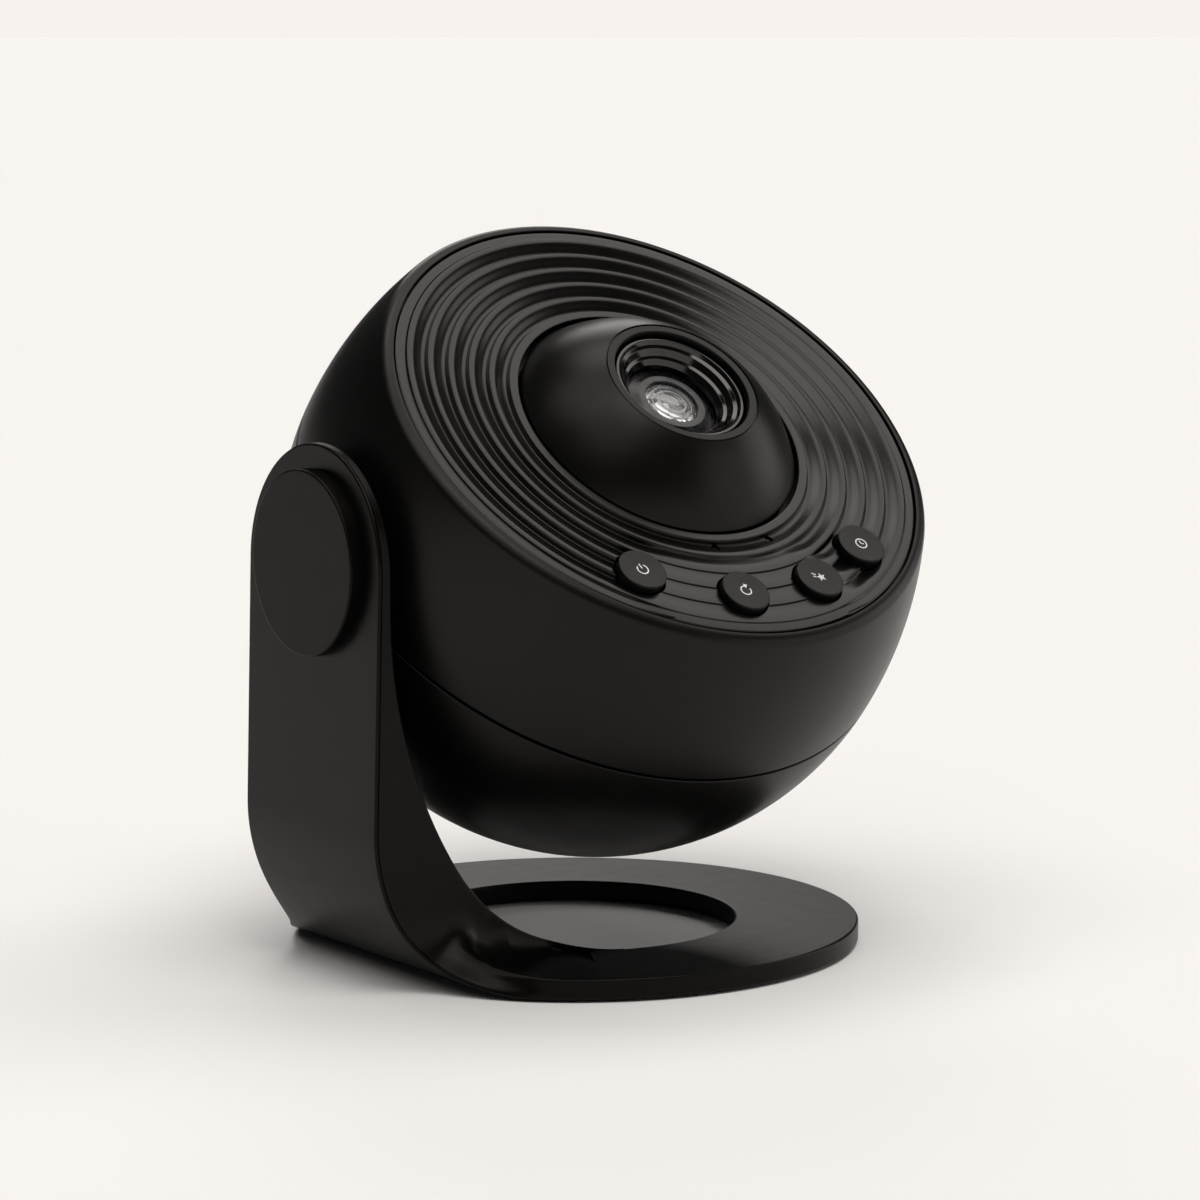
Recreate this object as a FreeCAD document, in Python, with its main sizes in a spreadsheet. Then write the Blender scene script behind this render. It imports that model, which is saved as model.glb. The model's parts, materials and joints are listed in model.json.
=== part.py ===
"""Ball-shaped planetarium projector on a one-armed bracket with a ring foot.

The model stands on Z = 0 and faces -Y. The tilt axis runs along X through the centre of the ball.
Pieces of the ball are drawn about its centre with the lens axis as their own Z, and then tilted.
Lengths are in millimetres and angles in degrees.
"""
import FreeCAD, Part
import math
import os
import re
import Sketcher

Vector = FreeCAD.Vector

SIZES = {
    # the ball: outer shells
    "lens_tilt": 49.4,          # elevation of the lens axis at rest
    "ball_height": 88.4,        # centre of the ball above the table
    "equator_r": 69.4,
    "front_arc": 96.0,          # radius of the front shell's meridian
    "seam_z": -0.8,
    "seam_gap": 0.7,
    "wall": 2.4,
    "rim_top": 35.0,            # plane of the front shell's rim
    "rim_round": 2.8,
    "mouth_r": 60.3,            # opening in the front shell
    "ledge_z": 32.3,            # shelf that carries the face panel
    "ledge_r": 57.6,
    "ledge_depth": 2.0,
    "tongue_r": 66.5,           # lip of the rear shell, inside the seam
    "tongue_wall": 1.6,
    "tongue_top": 1.4,
    "inner_knee_z": 15.0,       # where the front shell's inner wall changes slope
    "flat_x": 68.0,             # flat on the ball beside the arm
    # the face panel
    "panel_r": 59.8,
    "panel_top": 34.7,
    "wave_count": 6,
    "wave_outer_r": 57.9,
    "wave_pitch": 4.6,
    "wave_crest": 35.2,
    "wave_valley": 34.1,
    "wave_step": 0.35,          # width of a wave's steep outer face
    "wave_flat": 1.5,           # width of a wave's crest
    "well_r": 32.4,
    "well_wall": 1.8,
    "well_depth": 4.4,
    "land_r": 50.0,             # raised strip that carries the buttons
    "land_half": 6.9,
    "land_top": 35.2,
    "land_start": -134.0,
    "land_end": -43.0,
    # the buttons
    "button_circle": 49.9,
    "button_angle_1": -124.3,
    "button_angle_2": -97.3,
    "button_angle_3": -73.6,
    "button_angle_4": -53.0,
    "button_r": 5.35,
    "button_top": 36.8,
    "button_bevel": 0.45,
    "button_flange_r": 6.5,
    "button_flange": 0.9,
    "button_foot": 31.9,        # underside clearance line of the flange's top
    "button_hole_r": 5.75,
    "button_stem_r": 1.5,
    "button_stem_end": 27.6,
    # the control board under the buttons
    "board_top": 25.6,
    "board_thick": 1.6,
    "board_inner_r": 43.0,
    "board_outer_r": 57.0,
    "board_start": -140.0,
    "board_end": -37.0,
    "switch_side": 6.2,
    "switch_high": 3.0,
    "switch_bore_r": 1.9,
    "post_r": 2.3,
    "post_circle": 50.0,
    "post_angle_1": -110.8,
    "post_angle_2": -63.3,
    "screw_r": 0.95,
    "screw_head_r": 1.9,
    "screw_head_high": 1.3,
    "screw_long": 4.5,
    "light_hole_r": 0.9,
    "light_circle": 35.6,
    "light_angle_1": -97.8,
    "light_angle_2": -74.0,
    "light_top": 34.9,
    "light_foot": 28.0,
    # the focus dome
    "dome_arc": 37.6,           # radius of the dome's meridian
    "dome_arc_z": 14.3,         # its centre on the lens axis
    "dome_r": 31.5,
    "dome_rim_z": 47.5,
    "dome_rim_inner_r": 15.6,
    "dome_wall": 2.2,
    "dome_skirt_z": 30.4,
    "dome_flange_r": 33.6,
    "dome_flange": 1.2,
    "dome_tube_r": 15.2,
    "dome_tube_wall": 1.6,
    "dome_tube_end": 24.0,
    # the lens barrel, its hood and glass
    "barrel_r": 14.8,
    "barrel_top": 40.4,
    "barrel_shoulder_z": 29.5,
    "barrel_rear_r": 11.0,
    "barrel_bore_r": 9.6,
    "barrel_rear_z": 10.0,
    "key_r": 12.7,
    "key_width": 2.6,
    "key_start_z": 12.0,
    "key_end_z": 18.0,
    "hood_top": 46.3,
    "hood_mouth_r": 14.0,
    "hood_throat_r": 10.3,
    "hood_throat_z": 42.4,
    "bezel_r": 10.1,
    "bezel_inner_r": 6.0,
    "bezel_top": 41.8,
    "front_glass_r": 5.8,
    "front_glass_top": 42.2,
    "front_glass_edge": 41.0,
    "front_glass_back": 37.6,
    "rear_glass_r": 9.5,
    "rear_glass_top": 17.5,
    "rear_glass_back": 12.0,
    "rear_glass_rise": 2.5,
    # the fixed tube round the barrel
    "guide_r": 11.4,
    "guide_wall": 1.8,
    "guide_top": 21.5,
    "guide_foot": 6.0,
    "guide_flange_r": 34.5,
    "guide_flange": 1.8,
    "guide_slot": 3.2,
    "guide_leg_r": 2.4,
    "guide_leg_circle": 31.6,
    "guide_leg_angle": 35.0,    # above and below the tilt axis, on each side
    # the lamp behind the disc
    "frame_r": 17.0,
    "frame_wall": 1.6,
    "frame_top": -4.6,
    "frame_foot": -24.0,
    "frame_floor": 2.0,
    "frame_plate_r": 61.0,      # plate that carries the lamp, the motor and the guide
    "frame_plate": 1.6,
    "shelf_r": 59.6,            # step in the rear shell under that plate
    "shelf_thick": 1.6,
    "frame_bearing_r": 14.0,
    "frame_bearing_top": -1.7,
    "condenser_r": 12.2,
    "condenser_edge": 2.2,
    "condenser_z": -9.4,
    "condenser_rise": 3.0,
    "led_board_r": 12.0,
    "led_board_thick": 1.4,
    "led_r": 2.6,
    "led_high": 1.8,
    "sink_r": 20.0,
    "sink_base": 3.0,
    "sink_fin_high": 16.0,
    "sink_fin_wall": 1.4,
    "sink_fin_pitch": 4.4,
    # the star disc and its drive
    "gear_teeth": 60,
    "pinion_teeth": 12,
    "gear_module": 0.8,
    "gear_backlash": 0.16,
    "gear_thick": 2.4,
    "gear_z": -1.2,
    "gear_bore_r": 21.0,
    "hub_r": 14.06,
    "hub_wall": 1.5,
    "hub_foot": -4.0,
    "disc_thick": 0.4,
    "disc_r": 20.8,
    "pinion_high": 3.4,
    "motor_r": 6.0,
    "motor_long": 18.2,
    "motor_shaft_r": 1.0,
    "motor_top": -4.2,
    # the back of the ball
    "vent_r": 15.0,
    "vent_flat_r": 5.4,         # flat middle of the grille's outer face
    "vent_wall": 2.2,
    "vent_slot": 1.8,
    "vent_slot_count": 8,
    "vent_slot_in": 6.2,
    "vent_slot_out": 12.6,
    "screw_circle": 55.0,
    "screw_angle_up": 40.0,     # above the tilt axis, on each side
    "screw_angle_down": 25.0,   # below it
    "rib_width": 1.8,
    "rib_reach": 63.0,
    "boss_r": 4.2,
    "well_screw_r": 3.1,
    "case_screw_r": 1.45,
    "case_screw_head_r": 2.8,
    "case_screw_head": 2.0,
    "case_screw_seat": -26.0,
    "case_screw_end": 10.0,
    "inlet_width": 14.0,        # recess round the power inlet
    "inlet_height": 8.4,
    "inlet_floor": 63.2,
    "inlet_shell_w": 9.0,
    "inlet_shell_h": 3.3,
    "inlet_shell_long": 7.4,
    "inlet_wall": 0.3,
    "inlet_block_wall": 1.8,
    "inlet_block_floor": 2.0,
    "main_board_r": 42.0,
    "main_board_hole_r": 17.0,
    "main_board_z": -50.0,
    "main_board_thick": 1.6,
    "main_post_r": 2.6,
    "main_post_circle": 36.0,
    # the pivot in the arm
    "shaft_r": 5.0,
    "shaft_hole_r": 5.05,
    "shaft_flange_r": 12.0,
    "shaft_flange": 1.6,
    "shaft_end_x": 50.0,
    "bush_r": 8.0,
    "bush_bore_r": 5.05,
    "bush_outer_x": 67.6,
    "bush_inner_x": 58.6,
    "bush_collar_r": 9.6,
    "bush_collar": 1.4,
    "boss_outer_r": 12.0,
    "boss_inner_x": 59.4,
    "thrust_outer_r": 12.6,
    "thrust_outer_x": 69.5,
    "thrust_inner_x": 68.3,
    "wave_washer_r": 8.4,
    "wave_washer": 1.2,
    "nut_r": 7.5,
    "nut_thick": 4.0,
    "cap_r": 19.6,
    "cap_face_x": 75.9,
    "cap_seat_x": 72.2,         # flat spot that is cut in the leaning face for the cap's edge
    "cap_bevel": 0.7,
    "cap_ring_r": 15.1,
    "cap_ring_wall": 1.4,
    # the bracket
    "arm_x": 73.4,              # plane under the cap, from which the arm's inner faces are measured
    "arm_face_x": 72.9,         # outer face at the pivot's height
    "arm_lean": 1.6,            # the outer face leans out towards the foot
    "arm_thick": 3.6,
    "arm_half": 25.7,
    "arm_top_drop": 0.9,        # how far the centre of the arm's round end lies below the pivot
    "arm_recess_r": 15.4,
    "arm_recess": 1.8,
    "bend_r": 38.0,             # outer bend, below the arm
    "bend_z": 34.0,
    "bend_foot_r": 18.0,        # its last part, which runs out in the underside
    "plate_thick": 4.4,
    "ring_x": 6.4,              # the ring's centre lies this far from the ball's, towards the arm
    "ring_r": 62.6,
    "ring_hole_r": 35.5,
    "ring_foot": 0.6,
    "neck_round": 12.0,         # plan rounding between the arm and the ring
    "ramp_upper_r": 100.0,      # inner curve of the bend, in two tangent arcs
    "ramp_lower_r": 43.0,
    "ramp_joint": 33.0,
    "ramp_flare": 1.0,          # extra half width of the ramp where it meets the arm
    "cove": 9.0,                # rounding between the ramp's flank and the ring
    "cove_sink": 0.3,           # how far the coves' feet lie below the plate's top
    "pad_inset": 2.2,
    "pad_deep": 0.7,
    "pad_cut_x": 46.0,
}

BIG = 200.0
SEAT_CLEARANCE = 0.05

doc = FreeCAD.newDocument("PlanetariumProjector")


def make_sheet():
    """Write every driving dimension to a cell of its own and give the cell its alias."""
    sheet = doc.addObject("Spreadsheet::Sheet", "Dims")
    for row, (alias, size) in enumerate(SIZES.items(), start=1):
        sheet.set(f"A{row}", alias.replace("_", " "))
        sheet.set(f"B{row}", str(size))
        sheet.setAlias(f"B{row}", alias)
    doc.recompute()
    return sheet


SHEET = make_sheet()


def cell(formula):
    """Turn a formula of aliases into an expression on the sheet."""
    return re.sub(r"[a-z]\w+", lambda m: "Dims." + m[0] if m[0] in SIZES else m[0], str(formula))


def value(formula):
    """Number that a formula of aliases gives now."""
    return float(SHEET.evalExpression(cell(formula)))


def bind(target, path, formula):
    """Bind one property of an object to a formula of aliases."""
    target.setExpression(path, cell(formula))


# Placements ---------------------------------------------------------------------------------

BALL_X = "(cap_face_x - equator_r) / 2"


def place_in_ball(body, tilted=True):
    """Put a body's origin at the centre of the ball, with its Z along the lens axis if tilted."""
    tilt = "90 - lens_tilt" if tilted else "0"
    turn = FreeCAD.Rotation(Vector(1, 0, 0), value(tilt))
    body.Placement = FreeCAD.Placement(Vector(value(BALL_X), 0, value("ball_height")), turn)
    bind(body, ".Placement.Base.x", BALL_X)
    bind(body, ".Placement.Base.z", "ball_height")
    if tilted:
        bind(body, ".Placement.Rotation.Angle", tilt)


def place_in_stand(body):
    """Put a body's origin on the table, below the centre of the ball."""
    body.Placement = FreeCAD.Placement(Vector(value(BALL_X), 0, 0), FreeCAD.Rotation())
    bind(body, ".Placement.Base.x", BALL_X)


def new_body(label, where):
    """An empty body, placed in the ball (tilted), in the ball (level) or in the stand."""
    body = doc.addObject("PartDesign::Body", label)
    body.Label = label
    if where == "stand":
        place_in_stand(body)
    else:
        place_in_ball(body, tilted=(where == "ball"))
    return body


# Sketches -----------------------------------------------------------------------------------

def sketch_on(body, name, plane, offset="0"):
    """An empty sketch on one of the body's own planes, set off along the plane's normal."""
    sketch = body.newObject("Sketcher::SketchObject", name)
    origin = [part for part in body.Origin.OriginFeatures if part.Role == plane][0]
    sketch.AttachmentSupport = [(origin, "")]
    sketch.MapMode = "FlatFace"
    if str(offset) != "0":
        bind(sketch, ".AttachmentOffset.Base.z", offset)
    return sketch


def dimension(sketch, kind, geometry, point, formula):
    """Add one dimension to a sketch and bind it to its formula."""
    size = value(formula)
    if kind == "Radius":
        index = sketch.addConstraint(Sketcher.Constraint(kind, geometry, size))
    else:
        index = sketch.addConstraint(Sketcher.Constraint(kind, -1, 1, geometry, point, size))
    if re.search(r"[a-z]", str(formula)):
        bind(sketch, f"Constraints[{index}]", formula)


def draw_circle(sketch, x, y, radius):
    """Circle about a point, with its centre and radius bound."""
    circle = Part.Circle(Vector(value(x), value(y), 0), Vector(0, 0, 1), value(radius))
    index = sketch.addGeometry(circle, False)
    dimension(sketch, "DistanceX", index, 3, x)
    dimension(sketch, "DistanceY", index, 3, y)
    dimension(sketch, "Radius", index, 0, radius)


def arc_between(start, end, radius, left):
    """Arc of a given radius from start to end, bulging to the left or right of the way."""
    middle = (start + end) * 0.5
    chord = end - start
    rise = math.sqrt(max(radius ** 2 - (chord.Length / 2) ** 2, 0.0))
    side = Vector(-chord.y, chord.x, 0).normalize()
    centre = middle - side * rise if left else middle + side * rise
    first, last = (end, start) if left else (start, end)
    angles = [math.atan2(p.y - centre.y, p.x - centre.x) for p in (first, last)]
    circle = Part.Circle(centre, Vector(0, 0, 1), radius)
    return Part.ArcOfCircle(circle, angles[0], angles[1])


def draw_outline(sketch, corners):
    """Closed outline. A corner is (x, y), or (x, y, radius, side) where an arc leaves it."""
    spots = [Vector(value(corner[0]), value(corner[1]), 0) for corner in corners]
    ends = []
    for number, corner in enumerate(corners):
        start, end = spots[number], spots[(number + 1) % len(spots)]
        if len(corner) == 2:
            index = sketch.addGeometry(Part.LineSegment(start, end), False)
            ends.append((index, 1, 2))
        else:
            left = corner[3] == "left"
            arc = arc_between(start, end, value(corner[2]), left)
            index = sketch.addGeometry(arc, False)
            ends.append((index, 2, 1) if left else (index, 1, 2))
    for number, (index, first, last) in enumerate(ends):
        following = ends[(number + 1) % len(ends)]
        sketch.addConstraint(Sketcher.Constraint("Coincident", index, last, *following[:2]))
    for number, (index, first, last) in enumerate(ends):
        corner = corners[number]
        dimension(sketch, "DistanceX", index, first, corner[0])
        dimension(sketch, "DistanceY", index, first, corner[1])
        if len(corner) == 4:
            dimension_arc(sketch, index, corner, corners[(number + 1) % len(corners)])


def dimension_arc(sketch, index, corner, following):
    """Fix an arc by its radius, or a half circle by one coordinate of its centre."""
    across = abs(value(following[0]) - value(corner[0]))
    along = abs(value(following[1]) - value(corner[1]))
    if math.hypot(across, along) < 2 * value(corner[2]) - 1e-6:
        dimension(sketch, "Radius", index, 0, corner[2])
    elif along > across:
        dimension(sketch, "DistanceX", index, 3, f"({corner[0]} + {following[0]}) / 2")
    else:
        dimension(sketch, "DistanceY", index, 3, f"({corner[1]} + {following[1]}) / 2")


def draw_rectangle(sketch, x_low, y_low, x_high, y_high):
    """Upright rectangle between two corners."""
    draw_outline(sketch, [(x_low, y_low), (x_high, y_low), (x_high, y_high), (x_low, y_high)])


# Features -----------------------------------------------------------------------------------

def pad(body, name, sketch, length):
    """Pad along the sketch's normal."""
    feature = body.newObject("PartDesign::Pad", name)
    feature.Profile = sketch
    bind(feature, "Length", length)
    doc.recompute()
    return feature


def pocket(body, name, sketch, depth, along_normal=False):
    """Pocket against the sketch's normal, or along it; it has to take something away."""
    before = body.Shape.Volume
    feature = body.newObject("PartDesign::Pocket", name)
    feature.Profile = sketch
    feature.Reversed = along_normal
    bind(feature, "Length", depth)
    doc.recompute()
    if not body.Shape.Volume < before:
        raise RuntimeError(f"{body.Label}: pocket {name} cuts nothing")
    return feature


def revolve(body, name, corners, plane="XZ_Plane", axis="V_Axis"):
    """Solid of revolution of an outline about the sketch's own axis."""
    sketch = sketch_on(body, name + "_outline", plane)
    draw_outline(sketch, corners)
    feature = body.newObject("PartDesign::Revolution", name)
    feature.Profile = sketch
    feature.ReferenceAxis = (sketch, [axis])
    feature.Angle = 360.0
    doc.recompute()
    return feature


def turned(label, where, corners, axis="V_Axis"):
    """A body that is one solid of revolution."""
    body = new_body(label, where)
    revolve(body, label + "_turned", corners, axis=axis)
    return body


def padded_circles(body, name, circles, offset, length):
    """Round pads that stand on one plane across the body's Z."""
    sketch = sketch_on(body, name + "_outline", "XY_Plane", offset)
    for circle in circles:
        draw_circle(sketch, *circle)
    return pad(body, name, sketch, length)


def pocketed_circles(body, name, circles, offset, depth):
    """Round pockets sunk from one plane across the body's Z, downwards."""
    sketch = sketch_on(body, name + "_outline", "XY_Plane", offset)
    for circle in circles:
        draw_circle(sketch, *circle)
    return pocket(body, name, sketch, depth)


def polar(radius, angle):
    """Formulas of x and y for a radius and an angle."""
    return f"{radius} * cos({angle})", f"{radius} * sin({angle})"


def arc_band(inner, outer, start, end):
    """Outline of a band between two radii and two angles, with square ends."""
    return [
        (*polar(outer, start), outer, "right"),
        polar(outer, end),
        (*polar(inner, end), inner, "left"),
        polar(inner, start),
    ]


def round_band(middle, half, start, end):
    """Outline of a band of even width about a circle, with round ends."""
    outer, inner = f"({middle} + {half})", f"({middle} - {half})"
    return [
        (*polar(outer, start), outer, "right"),
        (*polar(outer, end), half, "right"),
        (*polar(inner, end), inner, "left"),
        (*polar(inner, start), half, "right"),
    ]


# The shells ---------------------------------------------------------------------------------

def meridian_r(radius, height):
    """Radius of the front shell's meridian at a height, for an arc about the shell's own centre."""
    return f"(equator_r - front_arc + sqrt(pow({radius}; 2) - pow({height} - seam_z; 2)))"


RIM_CENTRE_Z = "(rim_top - rim_round)"
RIM_CENTRE_R = meridian_r("(front_arc - rim_round)", RIM_CENTRE_Z)
RIM_SCALE = "(front_arc / (front_arc - rim_round))"
SHOULDER_R = f"(equator_r - front_arc + ({RIM_CENTRE_R} - equator_r + front_arc) * {RIM_SCALE})"
SHOULDER_Z = f"(seam_z + ({RIM_CENTRE_Z} - seam_z) * {RIM_SCALE})"
FRONT_INNER_ARC = "(front_arc - wall)"
REAR_INNER_ARC = "(equator_r - wall)"
FRONT_EDGE = "(seam_z + seam_gap / 2)"
REAR_EDGE = "(seam_z - seam_gap / 2)"


def sphere_r(radius, height):
    """Radius of a sphere about the seam's centre, at a height."""
    return f"sqrt(pow({radius}; 2) - pow({height} - seam_z; 2))"


SCREW_ANGLES = ("screw_angle_up", "180 - screw_angle_up", "180 + screw_angle_down", "-screw_angle_down")


def screw_spots():
    """Places of the four case screws."""
    return [polar("screw_circle", angle) for angle in SCREW_ANGLES]


def add_post_ribs(body, low, high):
    """One radial rib from each screw post out to the shell."""
    sketch = sketch_on(body, "ribs_outline", "XY_Plane", low)
    for angle in SCREW_ANGLES:
        corners = [("screw_circle", "-1"), ("rib_reach", "-1"), ("rib_reach", "1"), ("screw_circle", "1")]
        draw_outline(sketch, [radial(reach, f"{side} * rib_width / 2", angle) for reach, side in corners])
    pad(body, "ribs", sketch, f"{high} - ({low})")


def radial(reach, side, angle):
    """Formulas of x and y for a distance out along an angle and one to its side."""
    return (f"({reach}) * cos({angle}) - ({side}) * sin({angle})",
            f"({reach}) * sin({angle}) + ({side}) * cos({angle})")


def cut_pivot_side(body, edge, keep_above):
    """Flat, boss and bore for the pivot, in the half of the ball that this shell makes."""
    sketch = sketch_on(body, "pivot_boss_outline", "YZ_Plane", "-flat_x + wall / 2")
    draw_circle(sketch, "0", "0", "boss_outer_r")
    pad(body, "pivot_boss", sketch, "flat_x - wall / 2 - boss_inner_x")
    sketch = sketch_on(body, "boss_half_outline", "YZ_Plane", "-boss_inner_x + 1")
    reach = "boss_outer_r + 2"
    if keep_above:
        draw_rectangle(sketch, f"-({reach})", f"-({reach})", reach, edge)
    else:
        draw_rectangle(sketch, f"-({reach})", edge, reach, reach)
    pocket(body, "boss_half", sketch, "flat_x - boss_inner_x + 10")
    sketch = sketch_on(body, "flat_outline", "YZ_Plane", "-flat_x")
    draw_circle(sketch, "0", "0", "equator_r / 3")
    pocket(body, "flat", sketch, "10")
    sketch = sketch_on(body, "pivot_bore_outline", "YZ_Plane", "-boss_inner_x + 1")
    draw_circle(sketch, "0", "0", f"bush_r + {SEAT_CLEARANCE}")
    pocket(body, "pivot_bore", sketch, "20")
    sketch = sketch_on(body, "collar_seat_outline", "YZ_Plane", "-bush_outer_x + bush_collar + 0.05")
    draw_circle(sketch, "0", "0", f"bush_collar_r + {SEAT_CLEARANCE}")
    pocket(body, "collar_seat", sketch, "10")


def make_front_housing():
    """Front shell: full meridian, soft rim, shelf for the panel, posts for the case screws."""
    body = new_body("front_housing", "ball")
    ledge_base = "ledge_z - ledge_depth"
    revolve(body, "shell", [
        (meridian_r("front_arc", FRONT_EDGE), FRONT_EDGE, "front_arc", "right"),
        (SHOULDER_R, SHOULDER_Z, "rim_round", "right"),
        (RIM_CENTRE_R, "rim_top"),
        ("mouth_r", "rim_top"),
        ("mouth_r", "ledge_z"),
        ("ledge_r", "ledge_z"),
        ("ledge_r", ledge_base),
        (meridian_r(FRONT_INNER_ARC, ledge_base), ledge_base),
        (meridian_r(FRONT_INNER_ARC, "inner_knee_z"), "inner_knee_z"),
        (meridian_r(FRONT_INNER_ARC, FRONT_EDGE), FRONT_EDGE),
    ])
    posts = [(*spot, "boss_r") for spot in screw_spots()]
    padded_circles(body, "screw_posts", posts, "tongue_top + 0.6", f"{ledge_base} - tongue_top - 0.2")
    add_post_ribs(body, "tongue_top + 8", f"{ledge_base} + 0.4")
    bores = [(*spot, f"case_screw_r + {SEAT_CLEARANCE}") for spot in screw_spots()]
    pocketed_circles(body, "screw_bores", bores, "case_screw_end + 1", "case_screw_end + 1")
    cut_pivot_side(body, FRONT_EDGE, keep_above=True)
    return body


def make_rear_housing():
    """Rear shell: half sphere with the seam's tongue, screw wells, vent seat and inlet recess."""
    body = new_body("rear_housing", "ball")
    tongue_inner = "(tongue_r - tongue_wall)"
    foot_z = f"(seam_z - sqrt(pow({REAR_INNER_ARC}; 2) - pow({tongue_inner}; 2)))"
    shelf_low = "(frame_foot - shelf_thick)"
    revolve(body, "shell", [
        ("0", "seam_z - equator_r", "equator_r", "right"),
        (sphere_r("equator_r", REAR_EDGE), REAR_EDGE),
        ("tongue_r", REAR_EDGE),
        ("tongue_r", "tongue_top"),
        (tongue_inner, "tongue_top"),
        (tongue_inner, foot_z),
        (sphere_r(REAR_INNER_ARC, "frame_foot"), "frame_foot"),
        ("shelf_r", "frame_foot"),
        ("shelf_r", f"{shelf_low} - 2"),
        (sphere_r(REAR_INNER_ARC, f"({shelf_low} - 4)"), f"{shelf_low} - 4"),
        *inner_knees(),
        ("0", f"seam_z - {REAR_INNER_ARC}"),
    ])
    cut_vent(body)
    boards = [(*polar("main_post_circle", angle), "main_post_r") for angle in (0, 90, 180, 270)]
    board_foot = f"(seam_z + 1 - {sphere_at('equator_r', 'main_post_circle')})"
    padded_circles(body, "board_posts", boards, board_foot, f"main_board_z - {board_foot}")
    add_inlet_block(body)
    posts = [(*spot, "boss_r") for spot in screw_spots()]
    padded_circles(body, "screw_posts", posts, "case_screw_seat - 22", "tongue_top + 22.4 - case_screw_seat")
    trim_outside(body)
    wells = [(*spot, "well_screw_r") for spot in screw_spots()]
    pocketed_circles(body, "screw_wells", wells, "case_screw_seat", "60")
    bores = [(*spot, f"case_screw_r + {SEAT_CLEARANCE}") for spot in screw_spots()]
    pocketed_circles(body, "screw_bores", bores, "tongue_top + 1", "tongue_top + 2 - case_screw_seat")
    cut_inlet(body)
    cut_pivot_side(body, REAR_EDGE, keep_above=False)
    return body


def inner_knees():
    """Where the rear shell's inner wall changes slope, as leans from the pole at the back."""
    return [(f"{REAR_INNER_ARC} * sin({lean})", f"seam_z - {REAR_INNER_ARC} * cos({lean})") for lean in (48, 32, 16)]


def trim_outside(body):
    """Take off what the screw posts leave outside the rear sphere."""
    sketch = sketch_on(body, "outside_outline", "XZ_Plane")
    low = f"seam_z - equator_r - {BIG / 4}"
    draw_outline(sketch, [
        ("0", "seam_z - equator_r", "equator_r", "right"),
        ("equator_r", "seam_z"),
        (f"equator_r + {BIG / 4}", "seam_z"),
        (f"equator_r + {BIG / 4}", low),
        ("0", low),
    ])
    groove = body.newObject("PartDesign::Groove", "outside")
    groove.Profile = sketch
    groove.ReferenceAxis = (sketch, ["V_Axis"])
    groove.Angle = 360.0
    doc.recompute()


def cut_vent(body):
    """Stepped round opening at the back, which the vent grille closes."""
    pocketed_circles(body, "vent_hole", [("0", "0", f"vent_r + {SEAT_CLEARANCE}")],
                     "seam_z - equator_r / 2", "equator_r")


def add_inlet_block(body):
    """Inner walls round the power inlet's recess."""
    level_box(body, "PartDesign::AdditiveBox", "inlet_block", "inlet_floor - inlet_block_floor", "equator_r - 1",
              "inlet_width + 2 * inlet_block_wall", "inlet_height + 2 * inlet_block_wall")


def cut_inlet(body):
    """Recess for the power inlet, and the slot that its shell sits in."""
    level_box(body, "PartDesign::SubtractiveBox", "inlet_recess", "inlet_floor", "inlet_floor + 20",
              "inlet_width", "inlet_height")
    level_box(body, "PartDesign::SubtractiveBox", "inlet_slot", "inlet_floor - 10", "inlet_floor + 1",
              f"inlet_shell_w + {2 * SEAT_CLEARANCE}", f"inlet_shell_h + {2 * SEAT_CLEARANCE}")


def level_box(body, kind, name, near, far, width, height):
    """Box on the back of the ball, centred and level at rest, between two distances from the centre."""
    turn = FreeCAD.Rotation(Vector(1, 0, 0), value("lens_tilt - 90"))
    box = body.newObject(kind, name)
    bind(box, "Length", width)
    bind(box, "Width", f"{far} - ({near})")
    bind(box, "Height", height)
    corner = Vector(-value(width) / 2, value(near), -value(height) / 2)
    box.Placement = FreeCAD.Placement(turn.multVec(corner), turn)
    doc.recompute()


def make_vent_grille():
    """Round cap at the back of the ball with a ring of slots, flat inside and coned outside."""
    body = new_body("vent_grille", "ball")
    inside = f"seam_z - {sphere_at('(equator_r - vent_wall)', 'vent_r')}"
    middle = f"seam_z - {sphere_at('equator_r', 'vent_flat_r')}"
    revolve(body, "cap", [
        ("0", middle),
        ("vent_flat_r", middle),
        ("vent_r", f"seam_z - {sphere_at('equator_r', 'vent_r')}"),
        ("vent_r", inside),
        ("0", inside),
    ])
    sketch = sketch_on(body, "slot_outline", "XY_Plane", "seam_z - equator_r / 2")
    half = "vent_slot / 2"
    draw_outline(sketch, [
        ("vent_slot_in", f"-{half}"),
        ("vent_slot_out", f"-{half}", half, "right"),
        ("vent_slot_out", half),
        ("vent_slot_in", half, half, "right"),
    ])
    slot = pocket(body, "slot", sketch, "equator_r")
    pattern = body.newObject("PartDesign::PolarPattern", "slot_ring")
    pattern.Originals = [slot]
    pattern.Axis = (sketch, ["N_Axis"])
    pattern.Angle = 360.0
    pattern.Occurrences = int(value("vent_slot_count"))
    body.Tip = pattern
    doc.recompute()
    return body


def sphere_at(sphere, reach):
    """Height of a sphere above its centre, at a radius from the axis."""
    return f"sqrt(pow({sphere}; 2) - pow({reach}; 2))"


def make_case_screws():
    """Four screws, up through the rear shell into the front shell's posts."""
    body = new_body("case_screws", "ball")
    heads = [(*spot, "case_screw_head_r") for spot in screw_spots()]
    padded_circles(body, "heads", heads, "case_screw_seat - case_screw_head", "case_screw_head")
    shanks = [(*spot, "case_screw_r") for spot in screw_spots()]
    padded_circles(body, "shanks", shanks, "case_screw_seat - 0.5", "case_screw_end - case_screw_seat + 0.5")
    return body


# The waved face and what is under it --------------------------------------------------------

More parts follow.
